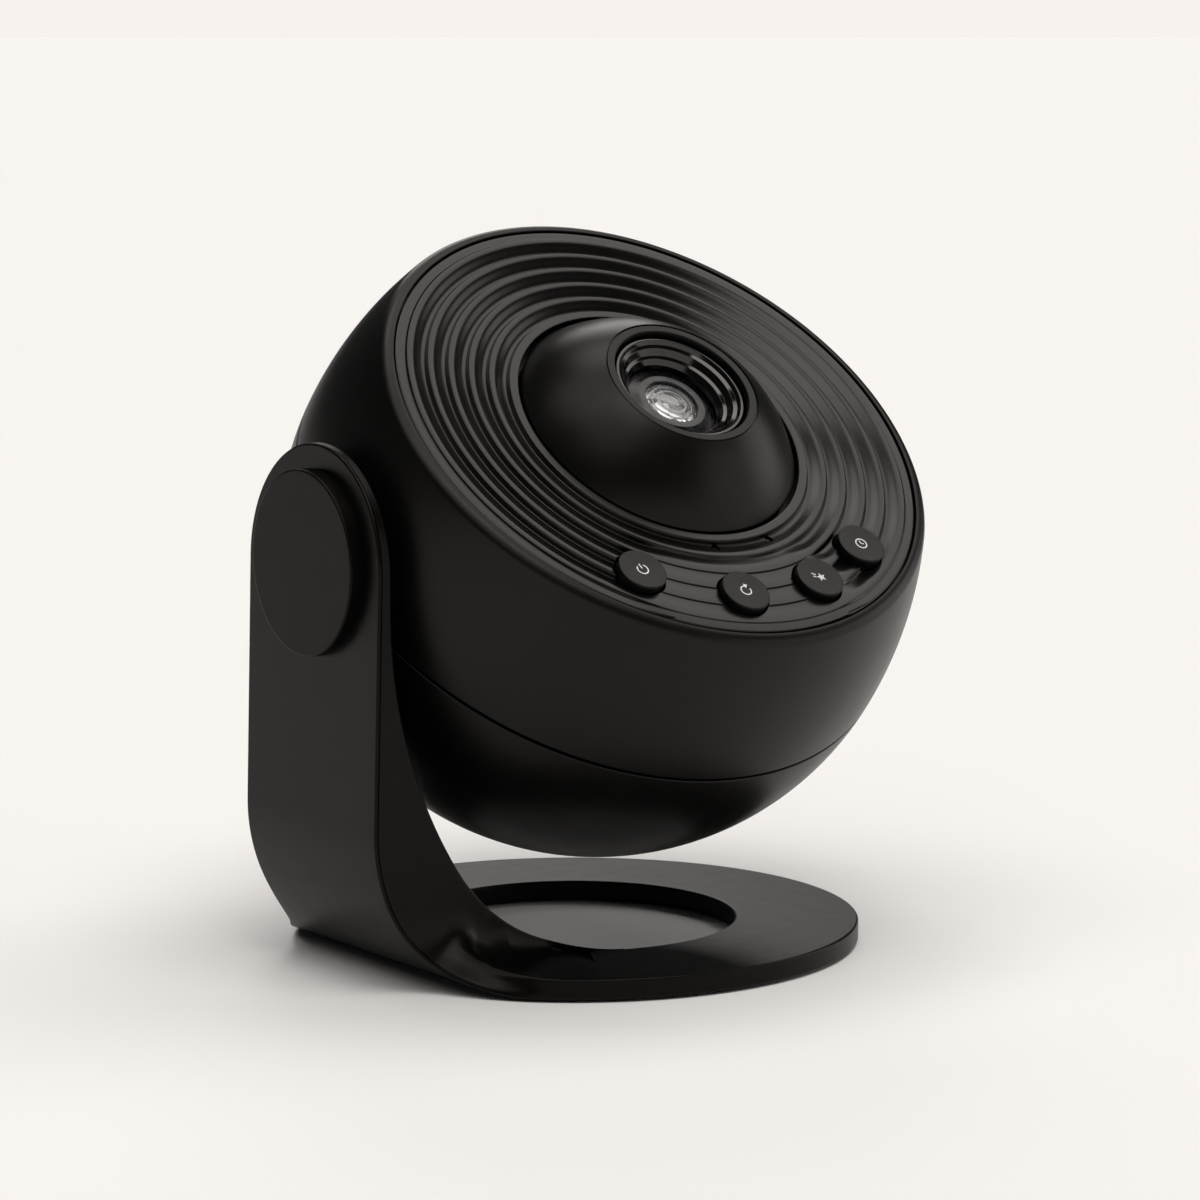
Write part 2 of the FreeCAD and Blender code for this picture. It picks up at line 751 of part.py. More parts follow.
def wave_outline():
    """Top of the panel from the outer margin to the well: a steep step up, then a long fall."""
    corners = []
    for number in range(int(value("wave_count"))):
        edge = f"wave_outer_r - {number} * wave_pitch"
        foot = "panel_top" if number == 0 else "wave_valley"
        corners += [
            (edge, foot),
            (f"{edge} - wave_step", "wave_crest - wave_step"),
            (f"{edge} - 2 * wave_step", "wave_crest"),
        ]
        if number < int(value("wave_count")) - 1:
            corners += [
                (f"{edge} - wave_flat", "wave_crest"),
                (f"{edge} - wave_pitch + wave_step", "wave_valley"),
            ]
    return corners


def make_face_panel():
    """Waved panel with the dome's well, the button land, four button holes and two windows."""
    body = new_body("face_panel", "ball")
    revolve(body, "waved_disc", [
        ("well_r", "panel_top - well_depth"),
        ("well_r + well_wall", "panel_top - well_depth"),
        ("well_r + well_wall", "ledge_z"),
        ("panel_r", "ledge_z"),
        ("panel_r", "panel_top"),
        *wave_outline(),
        ("well_r", "wave_crest"),
    ])
    sketch = sketch_on(body, "land_outline", "XY_Plane", "ledge_z + 0.5")
    draw_outline(sketch, round_band("land_r", "land_half", "land_start", "land_end"))
    pad(body, "land", sketch, "land_top - ledge_z - 0.5")
    posts = [(*polar("post_circle", f"post_angle_{number}"), "post_r") for number in (1, 2)]
    padded_circles(body, "board_posts", posts, "board_top", "ledge_z + 0.5 - board_top")
    holes = [(*button_spot(number), "button_hole_r") for number in range(1, 5)]
    pocketed_circles(body, "button_holes", holes, "button_top", "20")
    bores = [(*polar("post_circle", f"post_angle_{number}"), f"screw_r + {SEAT_CLEARANCE}") for number in (1, 2)]
    pocketed_circles(body, "post_bores", bores, "board_top + screw_long", "screw_long + 1")
    windows = [(*light_spot(number), "light_hole_r") for number in (1, 2)]
    pocketed_circles(body, "windows", windows, "button_top", "20")
    return body


def button_spot(number):
    return polar("button_circle", f"button_angle_{number}")


def light_spot(number):
    return polar("light_circle", f"light_angle_{number}")


def make_button(label, number):
    """Push button: bevelled cap, flange that keeps it in, and stem down into its switch."""
    body = new_body(label, "ball")
    spot = button_spot(number)
    padded_circles(body, "cap", [(*spot, "button_r")], "button_foot - 0.2", "button_top - button_foot + 0.2")
    padded_circles(body, "flange", [(*spot, "button_flange_r")], "button_foot - button_flange", "button_flange")
    padded_circles(body, "stem", [(*spot, "button_stem_r")], "button_stem_end",
                   "button_foot - button_flange + 0.2 - button_stem_end")
    bevel_top(body, "button_top", "button_bevel")
    return body


def bevel_top(body, height, size):
    """Chamfer the edges that lie at one height."""
    last = body.Tip
    level = value(height)
    names = [
        f"Edge{index}" for index, edge in enumerate(last.Shape.Edges, start=1)
        if all(abs(vertex.Z - level) < 1e-4 for vertex in edge.Vertexes)
    ]
    chamfer = body.newObject("PartDesign::Chamfer", "bevel")
    chamfer.Base = (last, names)
    bind(chamfer, "Size", size)
    doc.recompute()


def make_control_board():
    """Curved board under the buttons."""
    body = new_body("control_board", "ball")
    sketch = sketch_on(body, "board_outline", "XY_Plane", "board_top - board_thick")
    draw_outline(sketch, arc_band("board_inner_r", "board_outer_r", "board_start", "board_end"))
    pad(body, "board", sketch, "board_thick")
    bores = [(*polar("post_circle", f"post_angle_{number}"), f"screw_r + {SEAT_CLEARANCE}") for number in (1, 2)]
    pocketed_circles(body, "bores", bores, "board_top + 1", "board_thick + 2")
    return body


def make_tact_switches():
    """Four switch bodies on the board, each bored for its button's stem."""
    body = new_body("tact_switches", "ball")
    half = "switch_side / 2"
    sketch = sketch_on(body, "bodies_outline", "XY_Plane", "board_top")
    for number in range(1, 5):
        x, y = button_spot(number)
        draw_rectangle(sketch, f"{x} - {half}", f"{y} - {half}", f"{x} + {half}", f"{y} + {half}")
        draw_circle(sketch, x, y, "switch_bore_r")
    pad(body, "walls", sketch, "switch_high")
    return body


def make_board_screws():
    """Two screws that hold the board to the panel's posts."""
    body = new_body("board_screws", "ball")
    spots = [polar("post_circle", f"post_angle_{number}") for number in (1, 2)]
    under = "board_top - board_thick"
    padded_circles(body, "heads", [(*spot, "screw_head_r") for spot in spots],
                   f"{under} - screw_head_high", "screw_head_high")
    padded_circles(body, "shanks", [(*spot, "screw_r") for spot in spots],
                   f"{under} - 0.3", "board_thick + screw_long - 0.5")
    return body


def make_indicator_lights():
    """Two clear light guides in the panel's windows."""
    body = new_body("indicator_lights", "ball")
    rods = [(*light_spot(number), f"light_hole_r - {SEAT_CLEARANCE}") for number in (1, 2)]
    padded_circles(body, "rods", rods, "light_foot", "light_top - light_foot")
    return body


# The focus dome and the lens ----------------------------------------------------------------

def dome_r_at(radius, height):
    """Radius of the dome's meridian at a height."""
    return f"sqrt(pow({radius}; 2) - pow({height} - dome_arc_z; 2))"


def make_focus_dome():
    """Dome that turns about the lens axis: shell, rim, retaining flange and helicoid tube."""
    skirt_top = "(dome_arc_z + sqrt(pow(dome_arc; 2) - pow(dome_r; 2)))"
    inner = "(dome_arc - dome_wall)"
    tube_out = "(dome_tube_r + dome_tube_wall)"
    inner_foot = f"(dome_arc_z + sqrt(pow({inner}; 2) - pow(dome_r - dome_wall; 2)))"
    return turned("focus_dome", "ball", [
        ("dome_rim_inner_r", "dome_rim_z"),
        ("dome_tube_r", "dome_rim_z - 1"),
        ("dome_tube_r", "dome_tube_end"),
        (tube_out, "dome_tube_end"),
        (tube_out, f"dome_arc_z + sqrt(pow({inner}; 2) - pow({tube_out}; 2))"),
        ("dome_r - dome_wall", inner_foot),
        ("dome_r - dome_wall", "dome_skirt_z - dome_flange"),
        ("dome_flange_r", "dome_skirt_z - dome_flange"),
        ("dome_flange_r", "dome_skirt_z - 0.3"),
        ("dome_r", "dome_skirt_z - 0.3"),
        ("dome_r", skirt_top, "dome_arc", "left"),
        (dome_r_at("dome_arc", "dome_rim_z"), "dome_rim_z"),
    ])


def make_lens_barrel():
    """Barrel that slides in the guide: wide front for the helicoid, narrow rear with two keys."""
    body = new_body("lens_barrel", "ball")
    revolve(body, "tube", [
        ("front_glass_r + 0.05", "barrel_top"),
        ("front_glass_r + 0.05", "front_glass_back"),
        ("front_glass_r - 1", "front_glass_back"),
        ("front_glass_r - 1", "front_glass_back - 2"),
        ("barrel_bore_r", "front_glass_back - 6"),
        ("barrel_bore_r", "barrel_rear_z"),
        ("barrel_rear_r", "barrel_rear_z"),
        ("barrel_rear_r", "barrel_shoulder_z - 4"),
        ("barrel_r", "barrel_shoulder_z"),
        ("barrel_r", "barrel_top"),
    ])
    sketch = sketch_on(body, "keys_outline", "XY_Plane", "key_start_z")
    half = "key_width / 2"
    inner = "(barrel_rear_r - 0.6)"
    draw_rectangle(sketch, inner, f"-{half}", "key_r", half)
    draw_rectangle(sketch, "-key_r", f"-{half}", f"-{inner}", half)
    pad(body, "keys", sketch, "key_end_z - key_start_z")
    return body


def make_lens_hood():
    """Black funnel in front of the lens, with a step at its throat."""
    return turned("lens_hood", "ball", [
        ("hood_throat_r", "barrel_top"),
        ("barrel_r - 0.1", "barrel_top"),
        ("barrel_r - 0.1", "hood_top"),
        ("hood_mouth_r", "hood_top"),
        ("hood_throat_r", "hood_throat_z"),
    ])


def make_lens_bezel():
    """Ring that holds the front glass."""
    return turned("lens_bezel", "ball", [
        ("front_glass_r + 0.1", "barrel_top"),
        ("bezel_r", "barrel_top"),
        ("bezel_r", "barrel_top + 0.7"),
        ("bezel_inner_r + 1.6", "bezel_top"),
        ("bezel_inner_r", "bezel_top"),
    ])


def lens_outline(radius, back, edge, top):
    """Half section of a lens with a flat back, a straight edge and a domed front."""
    return [
        ("0", back),
        (radius, back),
        (radius, edge, dome_radius(radius, f"({top} - ({edge}))"), "right"),
        ("0", top),
    ]


def dome_radius(radius, rise):
    """Radius of the sphere whose cap has this edge radius and this rise."""
    return f"((pow({radius}; 2) + pow({rise}; 2)) / (2 * {rise}))"


def make_front_lens():
    return turned("front_lens", "ball", lens_outline(
        "front_glass_r", "front_glass_back", "front_glass_edge", "front_glass_top"))


def make_rear_lens():
    return turned("rear_lens", "ball", lens_outline(
        "rear_glass_r", "rear_glass_back", "rear_glass_top - rear_glass_rise", "rear_glass_top"))


def make_lens_guide():
    """Fixed tube round the barrel, with two slots for its keys, on a flange with four legs."""
    body = new_body("lens_guide", "ball")
    outer = "(guide_r + guide_wall)"
    revolve(body, "tube", [
        ("guide_r", "guide_foot"),
        ("guide_flange_r", "guide_foot"),
        ("guide_flange_r", "guide_foot + guide_flange"),
        (outer, "guide_foot + guide_flange"),
        (outer, "guide_top"),
        ("guide_r", "guide_top"),
    ])
    sketch = sketch_on(body, "slots_outline", "XY_Plane", "guide_top + 1")
    draw_rectangle(sketch, "-guide_r - 5", "-guide_slot / 2", "guide_r + 5", "guide_slot / 2")
    pocket(body, "slots", sketch, "guide_top - guide_foot - guide_flange")
    legs = [(*polar("guide_leg_circle", angle), "guide_leg_r") for angle in (
        "guide_leg_angle", "180 - guide_leg_angle", "180 + guide_leg_angle", "-guide_leg_angle")]
    stand = "(frame_foot + frame_plate)"
    padded_circles(body, "legs", legs, stand, f"guide_foot + 0.5 - {stand}")
    return body


# The lamp -----------------------------------------------------------------------------------

def make_lamp_frame():
    """Plate and cup that carry the lamp, the motor and the guide; the disc's hub turns on the neck."""
    body = new_body("lamp_frame", "ball")
    inner = "(frame_r - frame_wall)"
    neck_in = "(frame_bearing_r - frame_wall)"
    revolve(body, "cup", [
        (neck_in, "frame_bearing_top"),
        (neck_in, "frame_top - frame_wall"),
        (inner, "frame_top - frame_wall"),
        (inner, "frame_foot + frame_floor"),
        ("led_board_r + 0.1", "frame_foot + frame_floor"),
        ("led_board_r + 0.1", "frame_foot"),
        ("frame_plate_r", "frame_foot"),
        ("frame_plate_r", "frame_foot + frame_plate"),
        ("frame_r", "frame_foot + frame_plate"),
        ("frame_r", "frame_top"),
        ("frame_bearing_r", "frame_top"),
        ("frame_bearing_r", "frame_bearing_top"),
    ])
    holes = [(*spot, "boss_r + 0.3") for spot in screw_spots()]
    pocketed_circles(body, "post_holes", holes, "frame_top", "frame_top - frame_foot + 1")
    return body


def make_condenser_lens():
    """Lens between the lamp and the disc, flat towards the lamp."""
    return turned("condenser_lens", "ball", lens_outline(
        "condenser_r", "condenser_z - condenser_edge", "condenser_z", "condenser_z + condenser_rise"))


def make_led_board():
    """Round lamp board with its emitter."""
    top = "frame_foot + led_board_thick"
    return turned("led_board", "ball", [
        ("0", "frame_foot"),
        ("led_board_r", "frame_foot"),
        ("led_board_r", top),
        ("led_r", top),
        ("led_r", f"{top} + led_high / 2"),
        ("led_r / 2", f"{top} + led_high"),
        ("0", f"{top} + led_high"),
    ])


def make_heat_sink():
    """Round plate with straight fins."""
    body = new_body("heat_sink", "ball")
    padded_circles(body, "plate", [("0", "0", "sink_r")], "frame_foot - sink_base", "sink_base")
    sketch = sketch_on(body, "fins_outline", "XY_Plane", "frame_foot - sink_base - sink_fin_high")
    for number in (-3, -2, -1, 0, 1, 2, 3):
        middle = f"{number} * sink_fin_pitch"
        reach = f"sqrt(pow(sink_r - 0.6; 2) - pow({abs(number)} * sink_fin_pitch + sink_fin_wall / 2; 2))"
        draw_rectangle(sketch, f"{middle} - sink_fin_wall / 2", f"-{reach}",
                       f"{middle} + sink_fin_wall / 2", reach)
    pad(body, "fins", sketch, "sink_fin_high + 0.5")
    return body


# The star disc and its drive ----------------------------------------------------------------

def tooth_corners(teeth, shift, centre):
    """Corners of a gear with straight-flanked teeth, as points about a centre."""
    module = value("gear_module")
    pitch_r = module * teeth / 2
    outer, root = pitch_r + 0.85 * module, pitch_r - 1.15 * module
    slack = value("gear_backlash") / pitch_r / 2
    quarter = math.pi / teeth / 2
    corners = []
    for tooth in range(teeth):
        middle = 2 * math.pi * tooth / teeth + shift
        for radius, angle in (
            (root, -quarter * 1.75 + slack), (outer, -quarter * 0.5 + slack),
            (outer, quarter * 0.5 - slack), (root, quarter * 1.75 - slack),
        ):
            corners.append(centre + Vector(math.cos(middle + angle), math.sin(middle + angle), 0) * radius)
    return corners


def gear_solid(teeth, shift, centre, low, high):
    """Toothed wheel between two heights."""
    corners = tooth_corners(teeth, shift, centre)
    wire = Part.makePolygon(corners + corners[:1])
    face = Part.Face(wire)
    face.translate(Vector(0, 0, low))
    return face.extrude(Vector(0, 0, high - low))


def cylinder(radius, low, high, centre=Vector(0, 0, 0)):
    return Part.makeCylinder(radius, high - low, centre + Vector(0, 0, low))


def feature_in_ball(label, shape):
    """A finished shape as an object of the document, placed in the ball."""
    feature = doc.addObject("Part::Feature", label)
    feature.Label = label
    feature.Shape = shape
    place_in_ball(feature)
    return feature


def make_disc_gear():
    """Ring gear that carries the star disc, with the hub that turns on the lamp frame's neck."""
    low = value("gear_z - gear_thick / 2")
    high = value("gear_z + gear_thick / 2")
    ring = gear_solid(int(value("gear_teeth")), 0.0, Vector(0, 0, 0), low, high)
    ring = ring.cut(cylinder(value("gear_bore_r"), low + 1.0, high + 1))
    hub = cylinder(value("hub_r + hub_wall"), value("hub_foot"), low + 0.5)
    ring = ring.fuse(hub)
    ring = ring.cut(cylinder(value("hub_r"), value("hub_foot") - 1, high + 1))
    return feature_in_ball("disc_gear", ring.removeSplitter())


def pinion_centre():
    """The pinion's axis, across from the buttons."""
    reach = value("gear_module * (gear_teeth + pinion_teeth) / 2")
    return Vector(0, reach, 0)


def make_motor_pinion():
    """Pinion on the motor's shaft, in mesh with the disc gear."""
    middle = value("gear_z")
    half = value("pinion_high") / 2
    teeth = int(value("pinion_teeth"))
    turn = -math.pi / 2 + math.pi / teeth
    wheel = gear_solid(teeth, turn, pinion_centre(), middle - half, middle + half)
    bore = cylinder(value("motor_shaft_r"), middle - half - 1, middle + half - 1, pinion_centre())
    shaft = cylinder(value("motor_shaft_r"), value("motor_top") - 3, middle + half - 1, pinion_centre())
    return feature_in_ball("motor_pinion", wheel.cut(bore).fuse(shaft).removeSplitter())


def make_disc_motor():
    """Can motor beside the lamp, bored for its shaft."""
    low = value("motor_top - motor_long")
    top = value("motor_top")
    can = cylinder(value("motor_r"), low, top, pinion_centre())
    bore = cylinder(value("motor_shaft_r") + SEAT_CLEARANCE, top - 4, top + 1, pinion_centre())
    return feature_in_ball("disc_motor", can.cut(bore))


def make_star_disc():
    """Thin disc with the star picture, seated in the gear."""
    seat = "gear_z - gear_thick / 2 + 1.0"
    return turned("star_disc", "ball", [
        ("0", seat), ("disc_r", seat), ("disc_r", f"{seat} + disc_thick"), ("0", f"{seat} + disc_thick"),
    ])


# The back of the ball -----------------------------------------------------------------------

def make_main_board():
    """Ring-shaped board behind the heat sink, open in the middle for the air."""
    return turned("main_board", "ball", [
        ("main_board_hole_r", "main_board_z"),
        ("main_board_r", "main_board_z"),
        ("main_board_r", "main_board_z + main_board_thick"),
        ("main_board_hole_r", "main_board_z + main_board_thick"),
    ])


def make_usb_inlet():
    """Shell of the power inlet, level at rest, with its tongue."""
    body = new_body("usb_inlet", "level")
    start = "-inlet_floor"
    sketch = sketch_on(body, "shell_outline", "XZ_Plane", start)
    draw_pill(sketch, "inlet_shell_w", "inlet_shell_h")
    pad(body, "shell", sketch, "inlet_shell_long")
    sketch = sketch_on(body, "mouth_outline", "XZ_Plane", start)
    draw_pill(sketch, "(inlet_shell_w - 2 * inlet_wall)", "(inlet_shell_h - 2 * inlet_wall)")
    pocket(body, "mouth", sketch, "inlet_shell_long - 0.6", along_normal=True)
    sketch = sketch_on(body, "tongue_outline", "XZ_Plane", "-inlet_floor + 0.8")
    draw_rectangle(sketch, "-3.3", "-0.35", "3.3", "0.35")
    pad(body, "tongue", sketch, "inlet_shell_long - 1")
    return body


def draw_pill(sketch, width, height):
    """Outline with round ends, centred on the sketch's origin."""
    flat, half = f"({width} - {height}) / 2", f"{height} / 2"
    draw_outline(sketch, [
        (f"-{flat}", f"-{half}"),
        (flat, f"-{half}", half, "right"),
        (flat, half),
        (f"-{flat}", half, half, "right"),
    ])


# The pivot ----------------------------------------------------------------------------------

def turned_on_pivot(label, corners):
    """Solid of revolution about the tilt axis. Corners are distance from the ball's centre and radius."""
    body = new_body(label, "level")
    revolve(body, label + "_turned", [(f"-({x})", *rest) for x, *rest in corners], axis="H_Axis")
    return body


def make_pivot_shaft():
    """Shaft fixed in the arm: flange in the arm's recess, journal through the ball's bush."""
    seat = "arm_x - arm_recess"
    return turned_on_pivot("pivot_shaft", [
        (f"{seat} + shaft_flange", "0"),
        (f"{seat} + shaft_flange", "shaft_flange_r"),
        (seat, "shaft_flange_r"),
        (seat, "shaft_r"),
        ("shaft_end_x + 0.6", "shaft_r"),
        ("shaft_end_x", "shaft_r - 0.6"),
        ("shaft_end_x", "0"),
    ])


def ring_on_pivot(label, outer_x, inner_x, bore, radius):
    """Plain ring about the tilt axis."""
    return turned_on_pivot(label, [(outer_x, bore), (outer_x, radius), (inner_x, radius), (inner_x, bore)])


def make_friction_bush():
    """Collared sleeve between the shells, which turns on the shaft."""
    return turned_on_pivot("friction_bush", [
        ("bush_outer_x", "bush_bore_r"),
        ("bush_outer_x", "bush_collar_r"),
        ("bush_outer_x - bush_collar", "bush_collar_r"),
        ("bush_outer_x - bush_collar", "bush_r"),
        ("bush_inner_x", "bush_r"),
        ("bush_inner_x", "bush_bore_r"),
    ])


def make_thrust_washer():
    return ring_on_pivot("thrust_washer", "thrust_outer_x", "thrust_inner_x", "shaft_hole_r", "thrust_outer_r")


def make_wave_washer():
    return ring_on_pivot("wave_washer", "bush_inner_x - 0.15", "bush_inner_x - 0.15 - wave_washer",
                         "shaft_hole_r", "wave_washer_r")


def make_pivot_nut():
    """Six-sided nut that clamps the washers against the bush."""
    body = new_body("pivot_nut", "level")
    outer = "bush_inner_x - 0.15 - wave_washer"
    sketch = sketch_on(body, "nut_outline", "YZ_Plane", f"-({outer})")
    corners = [polar("nut_r", 60 * number) for number in range(6)]
    draw_outline(sketch, corners)
    draw_circle(sketch, "0", "0", "shaft_hole_r")
    pad(body, "nut", sketch, "nut_thick")
    return body


def make_pivot_cap():
    """Round cover on the arm, bevelled, with a ring that snaps into the arm's recess."""
    ring_inner = "cap_ring_r - cap_ring_wall"
    return turned_on_pivot("pivot_cap", [
        ("arm_x", "0"),
        ("cap_face_x", "0"),
        ("cap_face_x", "cap_r - cap_bevel"),
        ("cap_face_x - cap_bevel", "cap_r"),
        ("cap_seat_x", "cap_r"),
        ("cap_seat_x", "cap_ring_r"),
        ("arm_x - arm_recess + 0.1", "cap_ring_r"),
        ("arm_x - arm_recess + 0.1", ring_inner),
        ("arm_x", ring_inner),
    ])


# The bracket --------------------------------------------------------------------------------

ARM_FOOT_X = "(-arm_face_x - (ball_height - bend_z) * tan(arm_lean))"
BEND_X = f"({ARM_FOOT_X} + bend_r / cos(arm_lean))"
PLATE_ARC = "(bend_r - plate_thick)"
RING_TOP = "(ring_foot + plate_thick)"
BEND_FOOT_Z = "(ring_foot + bend_foot_r)"
BEND_FOOT_X = f"({BEND_X} - sqrt(pow(bend_r - bend_foot_r; 2) - pow(bend_z - {BEND_FOOT_Z}; 2)))"
BEND_SCALE = "(bend_r / (bend_r - bend_foot_r))"
BEND_JOINT_X = f"({BEND_X} + ({BEND_FOOT_X} - {BEND_X}) * {BEND_SCALE})"
BEND_JOINT_Z = f"(bend_z + ({BEND_FOOT_Z} - bend_z) * {BEND_SCALE})"


def bend_cross(radius, height):
    """X at which a bend arc of a given radius crosses a height."""
    return f"({BEND_X} - sqrt(pow({radius}; 2) - pow(bend_z - {height}; 2)))"


def bend_height(radius, x):
    """Height of an arc about the bend's centre, at a place along X."""
    return f"(bend_z - sqrt(pow({radius}; 2) - pow({x} - {BEND_X}; 2)))"


def add_plate(body):
    """Ring foot and arm as one plate, bent upwards at the arm's side."""
    half = "(ring_r + 2)"
    top = "(ball_height + arm_half + 2)"
    sketch = sketch_on(body, "plate_outline", "XZ_Plane", f"-{half}")
    draw_outline(sketch, [
        ("ring_r - ring_x + 2", "ring_foot"),
        ("ring_r - ring_x + 2", RING_TOP),
        (bend_cross(PLATE_ARC, RING_TOP), RING_TOP, PLATE_ARC, "left"),
        (f"{BEND_X} - {PLATE_ARC}", "bend_z"),
        ("-arm_x + arm_thick + 0.8", top),
        (f"-arm_face_x + ({top} - ball_height) * tan(arm_lean)", top),
        (f"{BEND_X} - bend_r * cos(arm_lean)", "bend_z + bend_r * sin(arm_lean)", "bend_r", "right"),
        (BEND_JOINT_X, BEND_JOINT_Z, "bend_foot_r", "right"),
        (BEND_FOOT_X, "ring_foot"),
    ])
    pad(body, "plate", sketch, f"2 * {half}")


RAMP_ARM_X = "(-arm_x + arm_thick)"
RAMP_JOINT_X = f"({RAMP_ARM_X} + ramp_upper_r * (1 - cos(ramp_joint)))"
RAMP_LOWER_Z = f"({RING_TOP} + ramp_lower_r)"
RAMP_LOWER_X = f"({RAMP_JOINT_X} + ramp_lower_r * cos(ramp_joint))"
RAMP_JOINT_Z = f"({RAMP_LOWER_Z} - ramp_lower_r * sin(ramp_joint))"
RAMP_START_Z = f"({RAMP_JOINT_Z} + ramp_upper_r * sin(ramp_joint))"


def ramp_height(x):
    """Height of the ramp's inner curve at a place along X."""
    if x < value(RAMP_JOINT_X):
        reach = value("ramp_upper_r")
        across = value(RAMP_ARM_X) + reach - x
        return value(RAMP_START_Z) - math.sqrt(max(reach ** 2 - across ** 2, 0.0))
    reach = value("ramp_lower_r")
    across = value(RAMP_LOWER_X) - x
    return value(RAMP_LOWER_Z) - math.sqrt(reach ** 2 - across ** 2)


def plate_levels(x):
    """Middle and top of the plate at a place along X, on the bend or on the flat."""
    if x < value(f"{BEND_X} - {PLATE_ARC} + 1"):
        return "bend_z - bend_r / 4", "bend_z - bend_r / 5"
    if x < value(bend_cross(PLATE_ARC, RING_TOP)):
        return bend_height("(bend_r - plate_thick / 2)", x), bend_height(PLATE_ARC, x)
    return "(ring_foot + plate_thick / 2)", RING_TOP


def ramp_section(body, number, x):
    """One section of the ramp across X: upright flanks that run out in coves on the plate."""
    middle, floor = plate_levels(x)
    room = ramp_height(x) - value(floor)
    cove = round(min(value("cove"), 0.85 * room), 3)
    foot = f"{floor} - cove_sink"
    top = f"{floor} + {round(room + 3.0, 3)}"
    half = "(arm_half + ramp_flare)" if number == 0 else "arm_half"
    sketch = sketch_on(body, f"ramp_section_{number}", "YZ_Plane", x)
    draw_outline(sketch, [
        (f"-{half} - {cove}", middle),
        (f"{half} + {cove}", middle),
        (f"{half} + {cove}", foot, cove, "right"),
        (half, f"{foot} + {cove}"),
        (half, top),
        (f"-{half}", top),
        (f"-{half}", f"{foot} + {cove}", cove, "right"),
        (f"-{half} - {cove}", foot),
    ])
    return sketch


def add_ramp(body):
    """Solid ramp between the arm and the ring, lofted through sections along X."""
    first = value(f"{BEND_X} - {PLATE_ARC}") - 0.5
    last = value("-ring_x - ring_hole_r / 2")
    count = 6
    places = [first + (last - first) * (step / (count - 1)) for step in range(count)]
    sections = [ramp_section(body, number, round(x, 3)) for number, x in enumerate(places)]
    loft = body.newObject("PartDesign::AdditiveLoft", "ramp")
    loft.Profile = sections[0]
    loft.Sections = sections[1:]
    loft.Ruled = False
    doc.recompute()


def trim_ramp(body):
    """Cut the ramp and the arm's inner face to the inner curve."""
    half = "(ring_r + 4)"
    right = "ring_r - ring_x + 4"
    top = "(ball_height + arm_half + 4)"
    sketch = sketch_on(body, "inner_curve", "XZ_Plane", f"-{half}")
    draw_outline(sketch, [
        (right, RING_TOP),
        (right, top),
        (RAMP_ARM_X, top),
        (RAMP_ARM_X, RAMP_START_Z, "ramp_upper_r", "right"),
        (RAMP_JOINT_X, RAMP_JOINT_Z, "ramp_lower_r", "right"),
        (RAMP_LOWER_X, RING_TOP),
    ])
    pocket(body, "inner_trim", sketch, f"2 * {half}", along_normal=True)


def trim_plan(body):
    """Cut the bracket to its plan: the ring's circle, the arm's width and two soft necks."""
    reach = "(ring_r + neck_round)"
    neck_y = "(arm_half + neck_round)"
    neck_x = f"(-ring_x - sqrt(pow({reach}; 2) - pow({neck_y}; 2)))"
    touch_x = f"(-ring_x + ({neck_x} + ring_x) * ring_r / {reach})"
    touch_y = f"({neck_y} * ring_r / {reach})"
    far = "(arm_x + 6)"
    sketch = sketch_on(body, "plan_outline", "XY_Plane", "ball_height + 60")
    draw_rectangle(sketch, f"-{far}", f"-{far}", far, far)
    draw_outline(sketch, [
        (f"-{far} + 2", "-arm_half"),
        (neck_x, "-arm_half", "neck_round", "left"),
        (touch_x, f"-{touch_y}", "ring_r", "right"),
        ("ring_r - ring_x", "0", "ring_r", "right"),
        (touch_x, touch_y, "neck_round", "left"),
        (neck_x, "arm_half"),
        (f"-{far} + 2", "arm_half"),
    ])
    pocket(body, "plan_trim", sketch, "ball_height + 70")


def round_arm_top(body):
    """Round the plate's upper end about the pivot."""
    sketch = sketch_on(body, "arm_top_outline", "YZ_Plane", "-arm_x + arm_thick + 20")
    out = "(ring_r + 6)"
    level = "ball_height - arm_top_drop"
    draw_outline(sketch, [
        ("-arm_half", level, "arm_half + 0.02", "left"),
        ("arm_half", level),
        (out, level),
        (out, "ball_height + arm_half + 6"),
        (f"-{out}", "ball_height + arm_half + 6"),
        (f"-{out}", level),
    ])
    pocket(body, "arm_top", sketch, "40")


def make_stand_bracket():
    """Arm, bend and ring foot in one casting."""
    body = new_body("stand_bracket", "stand")
    add_plate(body)
    round_arm_top(body)
    add_ramp(body)
    trim_ramp(body)
    trim_plan(body)
    pocketed_circles(body, "ring_hole", [("-ring_x", "0", "ring_hole_r")], "ball_height", "ball_height + 10")
    sketch = sketch_on(body, "cap_spot_outline", "YZ_Plane", "-cap_seat_x")
    draw_circle(sketch, "0", "ball_height", "cap_r + 0.1")
    pocket(body, "cap_spot", sketch, "10")
    sketch = sketch_on(body, "recess_outline", "YZ_Plane", "-arm_x + arm_recess")
    draw_circle(sketch, "0", "ball_height", "arm_recess_r")
    pocket(body, "recess", sketch, "10")
    sketch = sketch_on(body, "eye_outline", "YZ_Plane", "-arm_x + arm_thick + 2")
    draw_circle(sketch, "0", "ball_height", "shaft_hole_r")
    pocket(body, "eye", sketch, "20")
    sketch = sketch_on(body, "pad_seat_outline", "XY_Plane", "ring_foot + pad_deep")
    draw_pad_outline(sketch)
    pocket(body, "pad_seat", sketch, "10")
    return body


